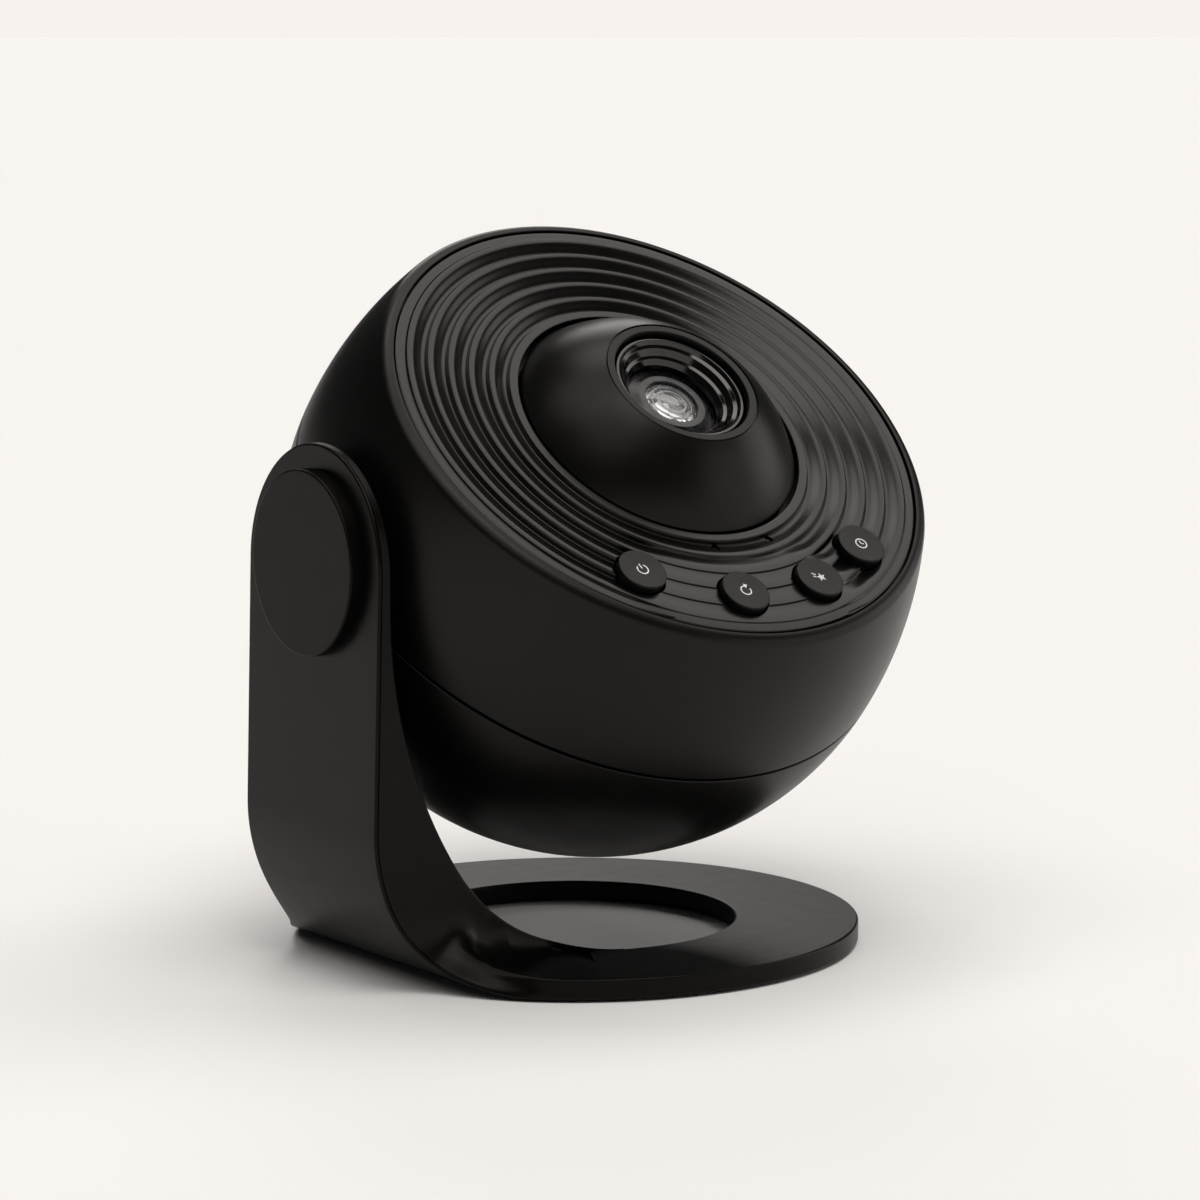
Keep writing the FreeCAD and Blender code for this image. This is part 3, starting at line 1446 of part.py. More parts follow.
def draw_pad_outline(sketch):
    """Ring with a straight cut at the bend's side."""
    outer = "(ring_r - pad_inset)"
    inner = "(ring_hole_r + pad_inset)"
    across = f"sqrt(pow({outer}; 2) - pow(pad_cut_x - ring_x; 2))"
    draw_outline(sketch, [
        ("-pad_cut_x", f"-{across}", outer, "right"),
        (f"-ring_x + {outer}", "0", outer, "right"),
        ("-pad_cut_x", across),
    ])
    draw_circle(sketch, "-ring_x", "0", inner)


def make_base_pad():
    """Rubber pad in the ring's underside."""
    body = new_body("base_pad", "stand")
    sketch = sketch_on(body, "pad_outline", "XY_Plane")
    draw_pad_outline(sketch)
    pad(body, "sheet", sketch, "ring_foot + pad_deep")
    return body


# Assembly -----------------------------------------------------------------------------------

def build_all():
    """Make every piece and return the objects in order."""
    pieces = [
        make_stand_bracket(), make_base_pad(), make_pivot_shaft(), make_pivot_cap(),
        make_thrust_washer(), make_wave_washer(), make_pivot_nut(),
        make_front_housing(), make_rear_housing(), make_vent_grille(), make_case_screws(),
        make_face_panel(), make_friction_bush(), make_control_board(), make_tact_switches(),
        make_board_screws(), make_indicator_lights(), make_lens_guide(), make_lamp_frame(),
        make_condenser_lens(), make_led_board(), make_heat_sink(), make_disc_motor(),
        make_main_board(), make_usb_inlet(),
        make_focus_dome(), make_lens_barrel(), make_lens_hood(), make_lens_bezel(),
        make_front_lens(), make_rear_lens(), make_disc_gear(), make_star_disc(), make_motor_pinion(),
    ]
    buttons = ("power_button", "rotate_button", "meteor_button", "timer_button")
    pieces += [make_button(label, number) for number, label in enumerate(buttons, start=1)]
    return pieces


def check(pieces):
    """Stop if any object of the document failed or any piece isn't a sound solid."""
    doc.recompute()
    for thing in doc.Objects:
        if "Invalid" in thing.State or "Error" in thing.State:
            raise RuntimeError(f"{thing.Name} is {thing.State}")
    for piece in pieces:
        if piece.Shape.isNull() or not piece.Shape.isValid() or not piece.Shape.Solids:
            raise RuntimeError(f"{piece.Label} has no valid solid")


def export(pieces):
    """Write each piece to its own file."""
    os.makedirs("parts", exist_ok=True)
    for piece in pieces:
        piece.Shape.exportStep(f"parts/{piece.Label}.step")
        box = piece.Shape.BoundBox
        print(f"{piece.Label}: {len(piece.Shape.Solids)} solid(s), {piece.Shape.Volume:.0f} mm3, "
              f"Z {box.ZMin:.1f} to {box.ZMax:.1f}")


if __name__ == "__main__":
    all_pieces = build_all()
    check(all_pieces)
    export(all_pieces)
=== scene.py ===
"""Looks of a ball-shaped planetarium projector: shells, waved face, focus dome, lens, buttons and bracket.

Everything is in metres and in the frame of the packed model. Pieces of the ball are drawn about its
centre, with the lens axis as their own Z, and then carried to their place by HEAD.
"""
import json
import math

import bmesh
import bpy
from bpy.props import FloatProperty, FloatVectorProperty, IntProperty, PointerProperty
from mathutils import Matrix, Vector


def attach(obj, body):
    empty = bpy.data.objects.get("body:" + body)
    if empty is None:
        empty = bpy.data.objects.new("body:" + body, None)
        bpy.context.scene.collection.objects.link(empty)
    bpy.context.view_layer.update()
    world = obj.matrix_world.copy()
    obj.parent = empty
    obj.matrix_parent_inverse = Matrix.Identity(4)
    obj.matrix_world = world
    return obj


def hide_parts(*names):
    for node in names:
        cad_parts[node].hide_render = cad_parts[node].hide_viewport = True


bl_info = {
    "name": "Planetarium projector",
    "version": (1, 0, 0),
    "blender": (4, 5, 0),
    "location": "3D View > Sidebar > Projector",
    "description": "Builds the visual pieces and finishes of a ball-shaped planetarium projector",
    "category": "Object",
}

MM = 0.001
SHARP = 32.0
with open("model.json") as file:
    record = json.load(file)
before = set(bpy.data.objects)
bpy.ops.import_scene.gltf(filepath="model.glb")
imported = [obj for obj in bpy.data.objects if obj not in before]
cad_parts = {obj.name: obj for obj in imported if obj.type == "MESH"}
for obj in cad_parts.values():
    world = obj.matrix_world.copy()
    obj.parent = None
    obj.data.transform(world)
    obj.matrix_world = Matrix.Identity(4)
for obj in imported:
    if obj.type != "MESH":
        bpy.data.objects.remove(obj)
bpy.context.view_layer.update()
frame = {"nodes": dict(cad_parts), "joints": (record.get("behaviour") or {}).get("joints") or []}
JOINTS = {joint["name"]: joint for joint in frame["joints"]}
BALL = Vector(JOINTS["head_tilt"]["pos_m"])
LENS_AXIS = Vector(JOINTS["focus_turn"]["axis"])
LENS_TILT = math.asin(LENS_AXIS.z)
HEAD = Matrix.Translation(BALL) @ Matrix.Rotation(math.pi / 2 - LENS_TILT, 4, "X")
LEVEL = Matrix.Translation(BALL)
STAND = Matrix.Translation((BALL.x, 0, 0))


def length(name, description, default, low=0.0):
    """A length in metres that the user can change; its default is given in millimetres."""
    return FloatProperty(name=name, description=description, default=default * MM, min=low, unit="LENGTH",
                         precision=5)


def degrees(name, description, default):
    """An angle that the user can change; its default is given in degrees."""
    return FloatProperty(name=name, description=description, default=math.radians(default), unit="ROTATION")


def colour(name, description, default):
    return FloatVectorProperty(name=name, description=description, default=default, size=3,
                               min=0.0, max=1.0, subtype="COLOR")


# Sizes and colours --------------------------------------------------------------------------

class BallSizes(bpy.types.PropertyGroup):
    """The two shells."""
    equator: length("Equator radius", "Radius of the ball at the seam", 69.385)
    meridian: length("Front meridian", "Radius of the front shell's profile", 96.0)
    seam: length("Seam height", "Height of the seam on the lens axis", -0.8, low=-1.0)
    gap: length("Seam gap", "Width of the line between the shells", 0.7)
    wall: length("Wall", "Thickness of the shells", 2.4)
    rim: length("Rim height", "Height of the front rim on the lens axis", 35.0)
    rim_round: length("Rim rounding", "Radius of the rim's rounding", 2.8)
    mouth: length("Mouth radius", "Opening that holds the face panel", 60.3)
    ledge: length("Ledge height", "Shelf under the face panel", 32.3)
    ledge_radius: length("Ledge radius", "Inner radius of that shelf", 57.6)
    flat: length("Pivot flat", "Distance of the pivot's flat from the centre", 68.0)
    tongue: length("Tongue radius", "Lip of the rear shell inside the seam", 66.5)


class PanelSizes(bpy.types.PropertyGroup):
    """The waved face panel."""
    radius: length("Radius", "Radius of the panel", 59.98)
    base: length("Margin height", "Height of the flat margin on the lens axis", 34.7)
    waves: IntProperty(name="Waves", description="Number of ring-shaped waves", default=6, min=1, max=12)
    first: length("First wave", "Radius of the outermost wave's step", 57.9)
    pitch: length("Pitch", "Distance from wave to wave", 4.6)
    crest: length("Crest", "Height of the wave crests", 35.2)
    valley: length("Valley", "Height of the valleys", 34.1)
    step: length("Step", "Width of a wave's steep side", 0.55)
    well: length("Well radius", "Opening round the focus dome", 32.4)
    land: length("Land radius", "Middle of the flat strip that carries the buttons", 50.0)
    land_half: length("Land half width", "Half the width of that strip", 6.9)
    blend: length("Blend", "Width over which the waves fade into the strip", 7.0)
    trace: FloatProperty(name="Trace", description="Share of the waves' height that is left in the strip",
                         default=0.12, min=0.0, max=1.0, subtype="FACTOR")


class ButtonSizes(bpy.types.PropertyGroup):
    """The four push buttons."""
    circle: length("Circle", "Radius of the circle that the buttons lie on", 49.9)
    radius: length("Radius", "Radius of a button's cap", 5.35)
    hole: length("Hole radius", "Radius of a button's hole", 5.75)
    top: length("Top", "Height of the caps on the lens axis", 36.8)
    foot: length("Foot", "Height of the caps' lower end", 31.5)
    rounding: length("Rounding", "Rounding of a cap's edge", 0.32)
    icon: length("Icon size", "Height of the icons", 3.0)


class LensSizes(bpy.types.PropertyGroup):
    """The focus dome and the lens in it."""
    dome: length("Dome radius", "Radius of the dome at its foot", 31.5)
    dome_arc: length("Dome meridian", "Radius of the dome's profile", 37.6)
    dome_centre: length("Dome centre", "Centre of that profile on the lens axis", 14.3)
    rim: length("Rim height", "Height of the dome's rim", 47.5)
    rim_outer: length("Rim outer radius", "Outer radius of the dome's rim", 17.2)
    rim_inner: length("Rim inner radius", "Inner radius of the dome's rim", 15.45)
    groove: length("Rim groove", "Width of the fine groove round the rim", 0.32)
    hood: length("Hood radius", "Outer radius of the lens hood", 14.7)
    hood_top: length("Hood height", "Height of the hood's edge", 46.3)
    throat: length("Throat radius", "Narrow end of the hood", 10.3)
    throat_height: length("Throat height", "Height of the narrow end", 42.4)
    glass: length("Glass radius", "Radius of the front lens", 5.8)


class StandSizes(bpy.types.PropertyGroup):
    """The bracket: arm, bend and ring foot."""
    arm: length("Arm plane", "Plane under the pivot cap, from the ball's centre", 73.4)
    arm_face: length("Arm face", "Outer face at the pivot's height, from the ball's centre", 72.9)
    arm_lean: degrees("Arm lean", "How far the outer face leans out towards the foot", 1.6)
    arm_thick: length("Arm thickness", "Distance of the arm's inner face from the arm's plane", 3.6)
    arm_half: length("Arm half width", "Half the width of the arm", 25.7)
    arm_drop: length("Arm end drop", "How far the centre of the arm's round end lies below the pivot", 0.9)
    bend: length("Bend radius", "Radius of the outer bend", 38.0)
    bend_height: length("Bend height", "Centre of the bend above the table", 34.0)
    bend_foot: length("Bend foot radius", "Tighter radius where the bend runs out on the table side", 18.0)
    plate: length("Plate thickness", "Thickness of the ring foot", 4.4)
    foot: length("Foot clearance", "Underside of the ring above the table", 0.6)
    ring: length("Ring radius", "Outer radius of the ring foot", 62.6)
    hole: length("Hole radius", "Inner radius of the ring foot", 35.5)
    ring_shift: length("Ring shift", "Distance of the ring's centre from the ball's", 6.4)
    neck: length("Neck rounding", "Rounding in plan between arm and ring", 12.0)
    ramp_upper: length("Upper ramp radius", "Upper part of the bend's inner curve", 100.0)
    ramp_lower: length("Lower ramp radius", "Lower part of that curve", 43.0)
    ramp_joint: degrees("Ramp joint", "Angle at which the two parts meet", 33)
    cove: length("Cove", "Rounding at the foot of the ramp's flanks", 6.5)
    brim_start: length("Brim start", "Widening of the plan at which the ring's brim starts to show", 0.6)
    brim_run: length("Brim run", "Further widening over which the brim comes out fully", 24.0)
    brim_reach: length("Brim reach", "Height over which the flank runs out into the foot", 14.0)
    edge: length("Edge rounding", "Rounding of the bracket's edges", 0.55)
    line: length("Shadow line", "Width and depth of the fine groove along the outer edge", 0.3)
    cap: length("Cap radius", "Radius of the pivot cap", 19.6)
    cap_face: length("Cap face", "Outer face of the pivot cap from the ball's centre", 75.9)
    cap_seat: length("Cap seat", "Flat spot in the arm's face under the cap, from the ball's centre", 72.2)


class Finishes(bpy.types.PropertyGroup):
    """Colours of the visible finishes."""
    shell: colour("Shell", "Moulded shells", (0.0018, 0.0017, 0.0016))
    panel: colour("Panel", "Waved face panel", (0.0018, 0.0017, 0.0016))
    dome: colour("Dome", "Focus dome", (0.0018, 0.0017, 0.0016))
    bracket: colour("Bracket", "Powder-coated bracket", (0.0022, 0.0020, 0.0018))
    hood: colour("Hood", "Glossy lens hood", (0.0020, 0.0020, 0.0021))
    icon: colour("Icons", "Print on the buttons", (0.72, 0.71, 0.69))
    floor: colour("Floor", "Studio floor", (0.942, 0.942, 0.942))


# Outlines -----------------------------------------------------------------------------------

def arc(centre, radius, start, end, steps):
    """Points of an arc, from one angle to another, in degrees."""
    points = []
    for number in range(steps + 1):
        angle = math.radians(start + (end - start) * number / steps)
        points.append((centre[0] + radius * math.cos(angle), centre[1] + radius * math.sin(angle)))
    return points


def soften(corners, steps=5):
    """Outline from corners (x, y, rounding): each rounded corner becomes an arc tangent to its sides."""
    points = []
    for number, (x, y, rounding) in enumerate(corners):
        spot = Vector((x, y))
        before = Vector(corners[number - 1][:2]) - spot
        after = Vector(corners[(number + 1) % len(corners)][:2]) - spot
        if rounding <= 0 or before.length < 1e-9 or after.length < 1e-9:
            points.append((x, y))
            continue
        before.normalize()
        after.normalize()
        half = before.angle(after) / 2
        reach = rounding / math.tan(half)
        centre = spot + (before + after).normalized() * (rounding / math.sin(half))
        first, last = spot + before * reach - centre, spot + after * reach - centre
        for step in range(steps + 1):
            way = first.lerp(last, step / steps)
            points.append(tuple(centre + way.normalized() * rounding))
    return points


def rectangle(width, height, rounding, steps=5):
    """Outline of a rectangle about the origin, with rounded corners."""
    x, y = width / 2, height / 2
    return soften([(-x, -y, rounding), (x, -y, rounding), (x, y, rounding), (-x, y, rounding)], steps)


# Meshes -------------------------------------------------------------------------------------

def finish_mesh(name, build, place, material, sharp=SHARP):
    """Turn a bmesh into an object at the origin, in place, with clean normals and smooth faces."""
    bmesh.ops.remove_doubles(build, verts=build.verts, dist=1e-7)
    bmesh.ops.recalc_face_normals(build, faces=build.faces)
    mesh = bpy.data.meshes.new(name)
    build.to_mesh(mesh)
    build.free()
    mesh.transform(place)
    mesh.shade_smooth()
    mesh.set_sharp_from_angle(angle=math.radians(sharp))
    mesh.materials.append(material)
    piece = bpy.data.objects.new(name, mesh)
    bpy.context.scene.collection.objects.link(piece)
    return piece


def add_lathe(build, outline, segments=192, turn=None, closed=True):
    """Revolve an outline of (radius, height) about Z into a bmesh."""
    rows = []
    for radius, height in outline:
        if radius < 1e-7:
            rows.append([build.verts.new((0, 0, height))])
            continue
        row = []
        for number in range(segments):
            angle = 2 * math.pi * number / segments
            row.append(build.verts.new((radius * math.cos(angle), radius * math.sin(angle), height)))
        rows.append(row)
    skin(build, rows + rows[:1] if closed else rows)
    if turn is not None:
        bmesh.ops.transform(build, matrix=turn, verts=[vert for row in rows for vert in row])


def join_rows(build, low, high):
    """Skin two rings of vertices; either may be a single vertex on the axis."""
    count = max(len(low), len(high))
    if count == 1:
        return
    for number in range(count):
        following = (number + 1) % count
        corners = [low[number % len(low)], low[following % len(low)],
                   high[following % len(high)], high[number % len(high)]]
        unique = list(dict.fromkeys(corners))
        if len(unique) > 2:
            build.faces.new(unique)


def skin(build, rows, capped=False):
    """Join rows of vertices one after the other; capped closes the first and the last."""
    for first, second in zip(rows, rows[1:]):
        join_rows(build, first, second)
    if capped:
        build.faces.new(rows[0])
        build.faces.new(rows[-1])


def lathe(name, outline, place, material, segments=192, sharp=SHARP):
    """Object that is one solid of revolution about its own Z."""
    build = bmesh.new()
    add_lathe(build, outline, segments)
    return finish_mesh(name, build, place, material, sharp)


def subtract(piece, cutter):
    """Cut one object out of another and drop the cutter."""
    combine(piece, cutter, "DIFFERENCE")


def combine(piece, tool, operation):
    """Boolean of two objects, applied at once; the tool is dropped."""
    change = piece.modifiers.new("combine", "BOOLEAN")
    change.operation = operation
    change.solver = "EXACT"
    change.object = tool
    apply_modifiers(piece)
    bpy.data.objects.remove(tool)


def apply_modifiers(piece):
    """Turn a piece with its modifiers into a plain mesh."""
    shapes = bpy.context.evaluated_depsgraph_get()
    mesh = bpy.data.meshes.new_from_object(piece.evaluated_get(shapes))
    old = piece.data
    piece.modifiers.clear()
    piece.data = mesh
    bpy.data.meshes.remove(old)
    mesh.name = piece.name


def tool_from(build):
    """Bare object for a boolean."""
    bmesh.ops.recalc_face_normals(build, faces=build.faces)
    mesh = bpy.data.meshes.new("tool")
    build.to_mesh(mesh)
    build.free()
    tool = bpy.data.objects.new("tool", mesh)
    bpy.context.scene.collection.objects.link(tool)
    return tool


def put(piece, body, *nodes):
    """Weigh a piece's normals by face area, so that roundings don't shade the flats; then place it."""
    change = piece.modifiers.new("normals", "WEIGHTED_NORMAL")
    change.mode = "FACE_AREA"
    change.keep_sharp = True
    apply_modifiers(piece)
    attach(piece, body)
    if nodes:
        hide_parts(*nodes)
    return piece


def put_on_head(piece, *nodes, turn=Matrix.Identity(4), sharp=SHARP):
    """Carry a piece that was drawn about the ball's centre to its place, and shade it anew."""
    piece.data.transform(HEAD @ turn)
    piece.data.shade_smooth()
    piece.data.set_sharp_from_angle(angle=math.radians(sharp))
    put(piece, "head", *nodes)


# Finishes -----------------------------------------------------------------------------------

class Finish:
    """Small builder for a node material on Object coordinates."""

    def __init__(self, name, roughness=0.5, metallic=0.0, specular=0.5, colour=(0.5, 0.5, 0.5)):
        self.material = bpy.data.materials.new(name)
        self.material.use_nodes = True
        self.tree = self.material.node_tree
        self.shader = self.tree.nodes["Principled BSDF"]
        self.shader.inputs["Base Color"].default_value = (*colour, 1.0)
        self.shader.inputs["Roughness"].default_value = roughness
        self.shader.inputs["Metallic"].default_value = metallic
        self.shader.inputs["Specular IOR Level"].default_value = specular
        self.shader.inputs["Specular Tint"].default_value = (1.0, 0.965, 0.935, 1.0)
        self.place = self.tree.nodes.new("ShaderNodeTexCoord").outputs["Object"]
        self.normal = None

    def link(self, source, target):
        self.tree.links.new(source, target)

    def node(self, kind, **settings):
        made = self.tree.nodes.new(kind)
        for key, setting in settings.items():
            setattr(made, key, setting)
        return made

    def noise(self, size, detail, seed):
        """Noise whose features are about `size` metres wide."""
        noise = self.node("ShaderNodeTexNoise", noise_dimensions="4D")
        noise.inputs["Scale"].default_value = 1.0 / size
        noise.inputs["Detail"].default_value = detail
        noise.inputs["W"].default_value = seed
        self.link(self.place, noise.inputs["Vector"])
        return noise.outputs["Fac"]

    def spread(self, value, low, high):
        """Map the middle of a noise, where most of it lies, to a range."""
        spread = self.node("ShaderNodeMapRange")
        spread.inputs["From Min"].default_value = 0.3
        spread.inputs["From Max"].default_value = 0.7
        spread.inputs["To Min"].default_value = low
        spread.inputs["To Max"].default_value = high
        self.link(value, spread.inputs["Value"])
        return spread.outputs["Result"]

    def vary_roughness(self, value, low, high):
        self.link(self.spread(value, low, high), self.shader.inputs["Roughness"])

    def vary_colour(self, value, dark, light):
        """Let the base colour drift between two colours."""
        mix = self.node("ShaderNodeMix", data_type="RGBA")
        mix.inputs["A"].default_value = (*dark, 1.0)
        mix.inputs["B"].default_value = (*light, 1.0)
        self.link(self.spread(value, 0.0, 1.0), mix.inputs["Factor"])
        self.link(mix.outputs["Result"], self.shader.inputs["Base Color"])

    def bump(self, value, depth, strength=1.0):
        """Add relief of about `depth` metres; reliefs stack."""
        bump = self.node("ShaderNodeBump")
        bump.inputs["Strength"].default_value = strength
        bump.inputs["Distance"].default_value = depth
        self.link(value, bump.inputs["Height"])
        if self.normal is not None:
            self.link(self.normal, bump.inputs["Normal"])
        self.normal = bump.outputs["Normal"]
        self.link(self.normal, self.shader.inputs["Normal"])


def lighter(colour, factor):
    return tuple(min(1.0, part * factor) for part in colour)


def moulded(name, colour, roughness, specular=0.2):
    """Moulded plastic: fine spark-eroded grain, slight unevenness and drifting gloss."""
    finish = Finish(name, roughness, specular=specular, colour=colour)
    finish.vary_colour(finish.noise(0.018, 3.0, seed=2.0), lighter(colour, 0.88), lighter(colour, 1.14))
    finish.vary_roughness(finish.noise(0.006, 4.0, seed=5.0), roughness - 0.015, roughness + 0.02)
    finish.bump(finish.noise(0.00035, 2.0, seed=9.0), 0.000009)
    finish.bump(finish.noise(0.022, 1.0, seed=4.0), 0.00002, 0.2)
    return finish.material


def powder_coat(name, colour):
    """Powder coat: soft orange peel under a fine grain."""
    finish = Finish(name, 0.33, specular=0.12, colour=colour)
    finish.vary_colour(finish.noise(0.03, 2.0, seed=1.0), lighter(colour, 0.9), lighter(colour, 1.12))
    finish.vary_roughness(finish.noise(0.005, 3.0, seed=3.0), 0.31, 0.36)
    finish.bump(finish.noise(0.0005, 3.0, seed=6.0), 0.000016, 0.6)
    finish.bump(finish.noise(0.0028, 1.0, seed=8.0), 0.00001, 0.25)
    return finish.material


def gloss(name, colour, roughness=0.08):
    """Glossy plastic with faint flow lines and dust."""
    finish = Finish(name, roughness, specular=0.6, colour=colour)
    finish.vary_roughness(finish.noise(0.004, 4.0, seed=3.0), roughness, roughness + 0.07)
    finish.bump(finish.noise(0.006, 1.0, seed=7.0), 0.00003, 0.12)
    return finish.material


def metal(name, colour, roughness):
    """Turned or drawn metal with fine marks."""
    finish = Finish(name, roughness, metallic=1.0, colour=colour)
    finish.vary_colour(finish.noise(0.004, 3.0, seed=1.0), lighter(colour, 0.86), lighter(colour, 1.06))
    finish.vary_roughness(finish.noise(0.0012, 3.0, seed=2.0), roughness - 0.06, roughness + 0.08)
    finish.bump(finish.noise(0.0004, 2.0, seed=3.0), 0.000006)
    return finish.material


def clear_glass(name, tint):
    """Coated lens glass: mostly mirror-like, see-through enough to show its mount."""
    polish = 0.02
    finish = Finish(name, polish, specular=0.9, colour=tint)
    finish.shader.inputs["Transmission Weight"].default_value = 0.85
    finish.shader.inputs["IOR"].default_value = 1.52
    finish.shader.inputs["Coat Weight"].default_value = 0.4
    finish.shader.inputs["Coat Roughness"].default_value = polish
    finish.vary_roughness(finish.noise(0.003, 3.0, seed=2.0), polish, 2 * polish)
    return finish.material


def rubber(name, colour):
    finish = Finish(name, 0.8, specular=0.3, colour=colour)
    finish.vary_colour(finish.noise(0.01, 3.0, seed=1.0), lighter(colour, 0.8), lighter(colour, 1.25))
    finish.bump(finish.noise(0.0005, 3.0, seed=2.0), 0.00004)
    return finish.material


def board(name, colour):
    """Circuit board: resist over faint copper tracks."""
    finish = Finish(name, 0.35, specular=0.5, colour=colour)
    tracks = finish.node("ShaderNodeTexBrick")
    tracks.inputs["Scale"].default_value = 120.0
    tracks.inputs["Color1"].default_value = (*colour, 1.0)
    tracks.inputs["Color2"].default_value = (*lighter(colour, 0.8), 1.0)
    tracks.inputs["Mortar"].default_value = (*lighter(colour, 1.9), 1.0)
    finish.link(finish.place, tracks.inputs["Vector"])
    finish.link(tracks.outputs["Color"], finish.shader.inputs["Base Color"])
    finish.bump(tracks.outputs["Fac"], 0.00002)
    return finish.material


def backdrop(name, colour):
    """Even studio paper."""
    finish = Finish(name, 0.9, specular=0.0, colour=colour)
    finish.vary_colour(finish.noise(0.35, 2.0, seed=1.0), lighter(colour, 0.997), lighter(colour, 1.003))
    return finish.material


def kept(name, make, *settings):
    """The material of that name, made once."""
    return bpy.data.materials.get(name) or make(name, *settings)


# The finish of each part whose colour the user can set: material, maker, its settings.
LOOKS = {
    "shell": ("satin_shell", moulded, 0.35, 0.22),
    "dome": ("satin_dome", moulded, 0.33, 0.20),
    "panel": ("satin_panel", moulded, 0.24, 0.32),
    "bracket": ("bracket_coat", powder_coat),
    "hood": ("hood_gloss", gloss),
    "icon": ("icon_print", moulded, 0.55),
    "floor": ("studio_paper", backdrop),
}


def look(part):
    """The finish of a part, in the colour that the scene's settings hold."""
    name, make, *settings = LOOKS[part]
    return kept(name, make, getattr(bpy.context.scene.projector_finish, part)[:], *settings)


def glass_finish():
    return kept("coated_glass", clear_glass, (0.80, 0.82, 0.84))


def dark_finish():
    return kept("dark_plastic", moulded, (0.006, 0.006, 0.006), 0.6)


def steel_finish():
    return kept("plain_steel", metal, (0.42, 0.41, 0.40), 0.34)


# Profiles -----------------------------------------------------------------------------------

def shell_radius(ball, radius, height):
    """Radius of the front shell's meridian at a height."""
    return ball.equator - ball.meridian + math.sqrt(radius ** 2 - (height - ball.seam) ** 2)


def front_outline(ball):
    """Section of the front shell: meridian, rounded rim, ledge and inner wall."""
    edge = ball.seam + ball.gap / 2
    centre = (ball.equator - ball.meridian, ball.seam)
    rim_centre_z = ball.rim - ball.rim_round
    rim_centre_r = shell_radius(ball, ball.meridian - ball.rim_round, rim_centre_z)
    lean = math.degrees(math.atan2(rim_centre_z - ball.seam, rim_centre_r - centre[0]))
    start = math.degrees(math.asin((edge - ball.seam) / ball.meridian))
    soft = 0.25 * MM
    outline = soften([(ball.equator - 0.8 * MM, edge, 0), (ball.equator, edge, soft),
                      (ball.equator - 0.02 * MM, edge + 1.2 * MM, 0)])[:-1]
    outline += arc(centre, ball.meridian, start + 0.8, lean, 26)
    outline += arc((rim_centre_r, rim_centre_z), ball.rim_round, lean, 90, 9)[1:]
    outline += soften([(rim_centre_r - 1e-5, ball.rim, 0), (ball.mouth, ball.rim, 0.2 * MM),
                       (ball.mouth, ball.ledge, 0)])[1:]
    outline += [(ball.ledge_radius, ball.ledge), (ball.ledge_radius, ball.ledge - 2 * MM)]
    inner = ball.meridian - ball.wall
    top = math.degrees(math.asin((ball.ledge - 2 * MM - ball.seam) / inner))
    outline += arc(centre, inner, top, start, 14)
    return outline


def rear_outline(ball):
    """Section of the rear shell: half circle, seam edge, tongue and inner wall."""
    edge = ball.seam - ball.gap / 2
    dip = math.degrees(math.asin(ball.gap / 2 / ball.equator))
    outline = arc((0, ball.seam), ball.equator, -90, -dip - 0.8, 60)
    outline[0] = (0.0, ball.seam - ball.equator)
    outline += soften([(ball.equator - 0.01 * MM, edge - 0.6 * MM, 0), (ball.equator, edge, 0.25 * MM),
                       (ball.tongue, edge, 0)])[1:]
    outline += [(ball.tongue, ball.seam + 2.2 * MM), (ball.tongue - 1.6 * MM, ball.seam + 2.2 * MM)]
    inner = ball.equator - ball.wall
    reach = math.degrees(math.acos((ball.tongue - 1.6 * MM) / inner))
    outline += arc((0, ball.seam), inner, -reach, -90, 40)
    outline[-1] = (0.0, ball.seam - inner)
    return outline


def flatten_pivot_side(build, ball):
    """Press the shell flat where the pivot sits."""
    for vert in build.verts:
        if vert.co.x < -ball.flat:
            vert.co.x = -ball.flat


# Operators: the ball ------------------------------------------------------------------------

class PROJECTOR_OT_front_shell(bpy.types.Operator):
    """Build the front shell with its rounded rim"""
    bl_idname = "projector.front_shell"
    bl_label = "Front shell"

    def execute(self, context):
        ball = context.scene.projector_ball
        build = bmesh.new()
        add_lathe(build, front_outline(ball), 256)
        flatten_pivot_side(build, ball)
        piece = finish_mesh("front_shell", build, HEAD, look("shell"))
        put(piece, "head", "front_housing")
        return {"FINISHED"}


class PROJECTOR_OT_rear_shell(bpy.types.Operator):
    """Build the rear shell with its screw wells, vent opening and inlet recess"""
    bl_idname = "projector.rear_shell"
    bl_label = "Rear shell"

    def execute(self, context):
        ball = context.scene.projector_ball
        build = bmesh.new()
        add_lathe(build, rear_outline(ball), 256)
        flatten_pivot_side(build, ball)
        piece = finish_mesh("rear_shell", build, Matrix.Identity(4), look("shell"))
        combine(piece, shell_bosses(), "UNION")
        subtract(piece, shell_openings())
        put_on_head(piece, "rear_housing")
        return {"FINISHED"}


SCREW_CIRCLE = 55 * MM
SCREW_ANGLES = (40, 140, 205, 335)
WELL_FLOOR = -26 * MM
VENT_RADIUS = 15.05 * MM
VENT_RIBS, RIB_CIRCLE = 8, 9.5 * MM
INLET = Vector((14 * MM, 63.2 * MM, 8.4 * MM))
UPRIGHT = Matrix.Rotation(LENS_TILT - math.pi / 2, 4, "X")


def screw_places():
    """The four case screws, about the lens axis."""
    return [around(SCREW_CIRCLE, angle) for angle in SCREW_ANGLES]


def level_row(build, outline, y):
    """Outline of (x, z) as a row of vertices at a place along Y."""
    return [build.verts.new((x, y, z)) for x, z in outline]


def add_block(build, width, height, near, far, rounding):
    """Level block with rounded edges that points out of the back of the ball."""
    outline = rectangle(width, height, rounding)
    rows = [level_row(build, outline, near), level_row(build, outline, far)]
    skin(build, rows, capped=True)
    bmesh.ops.transform(build, matrix=UPRIGHT, verts=rows[0] + rows[1])


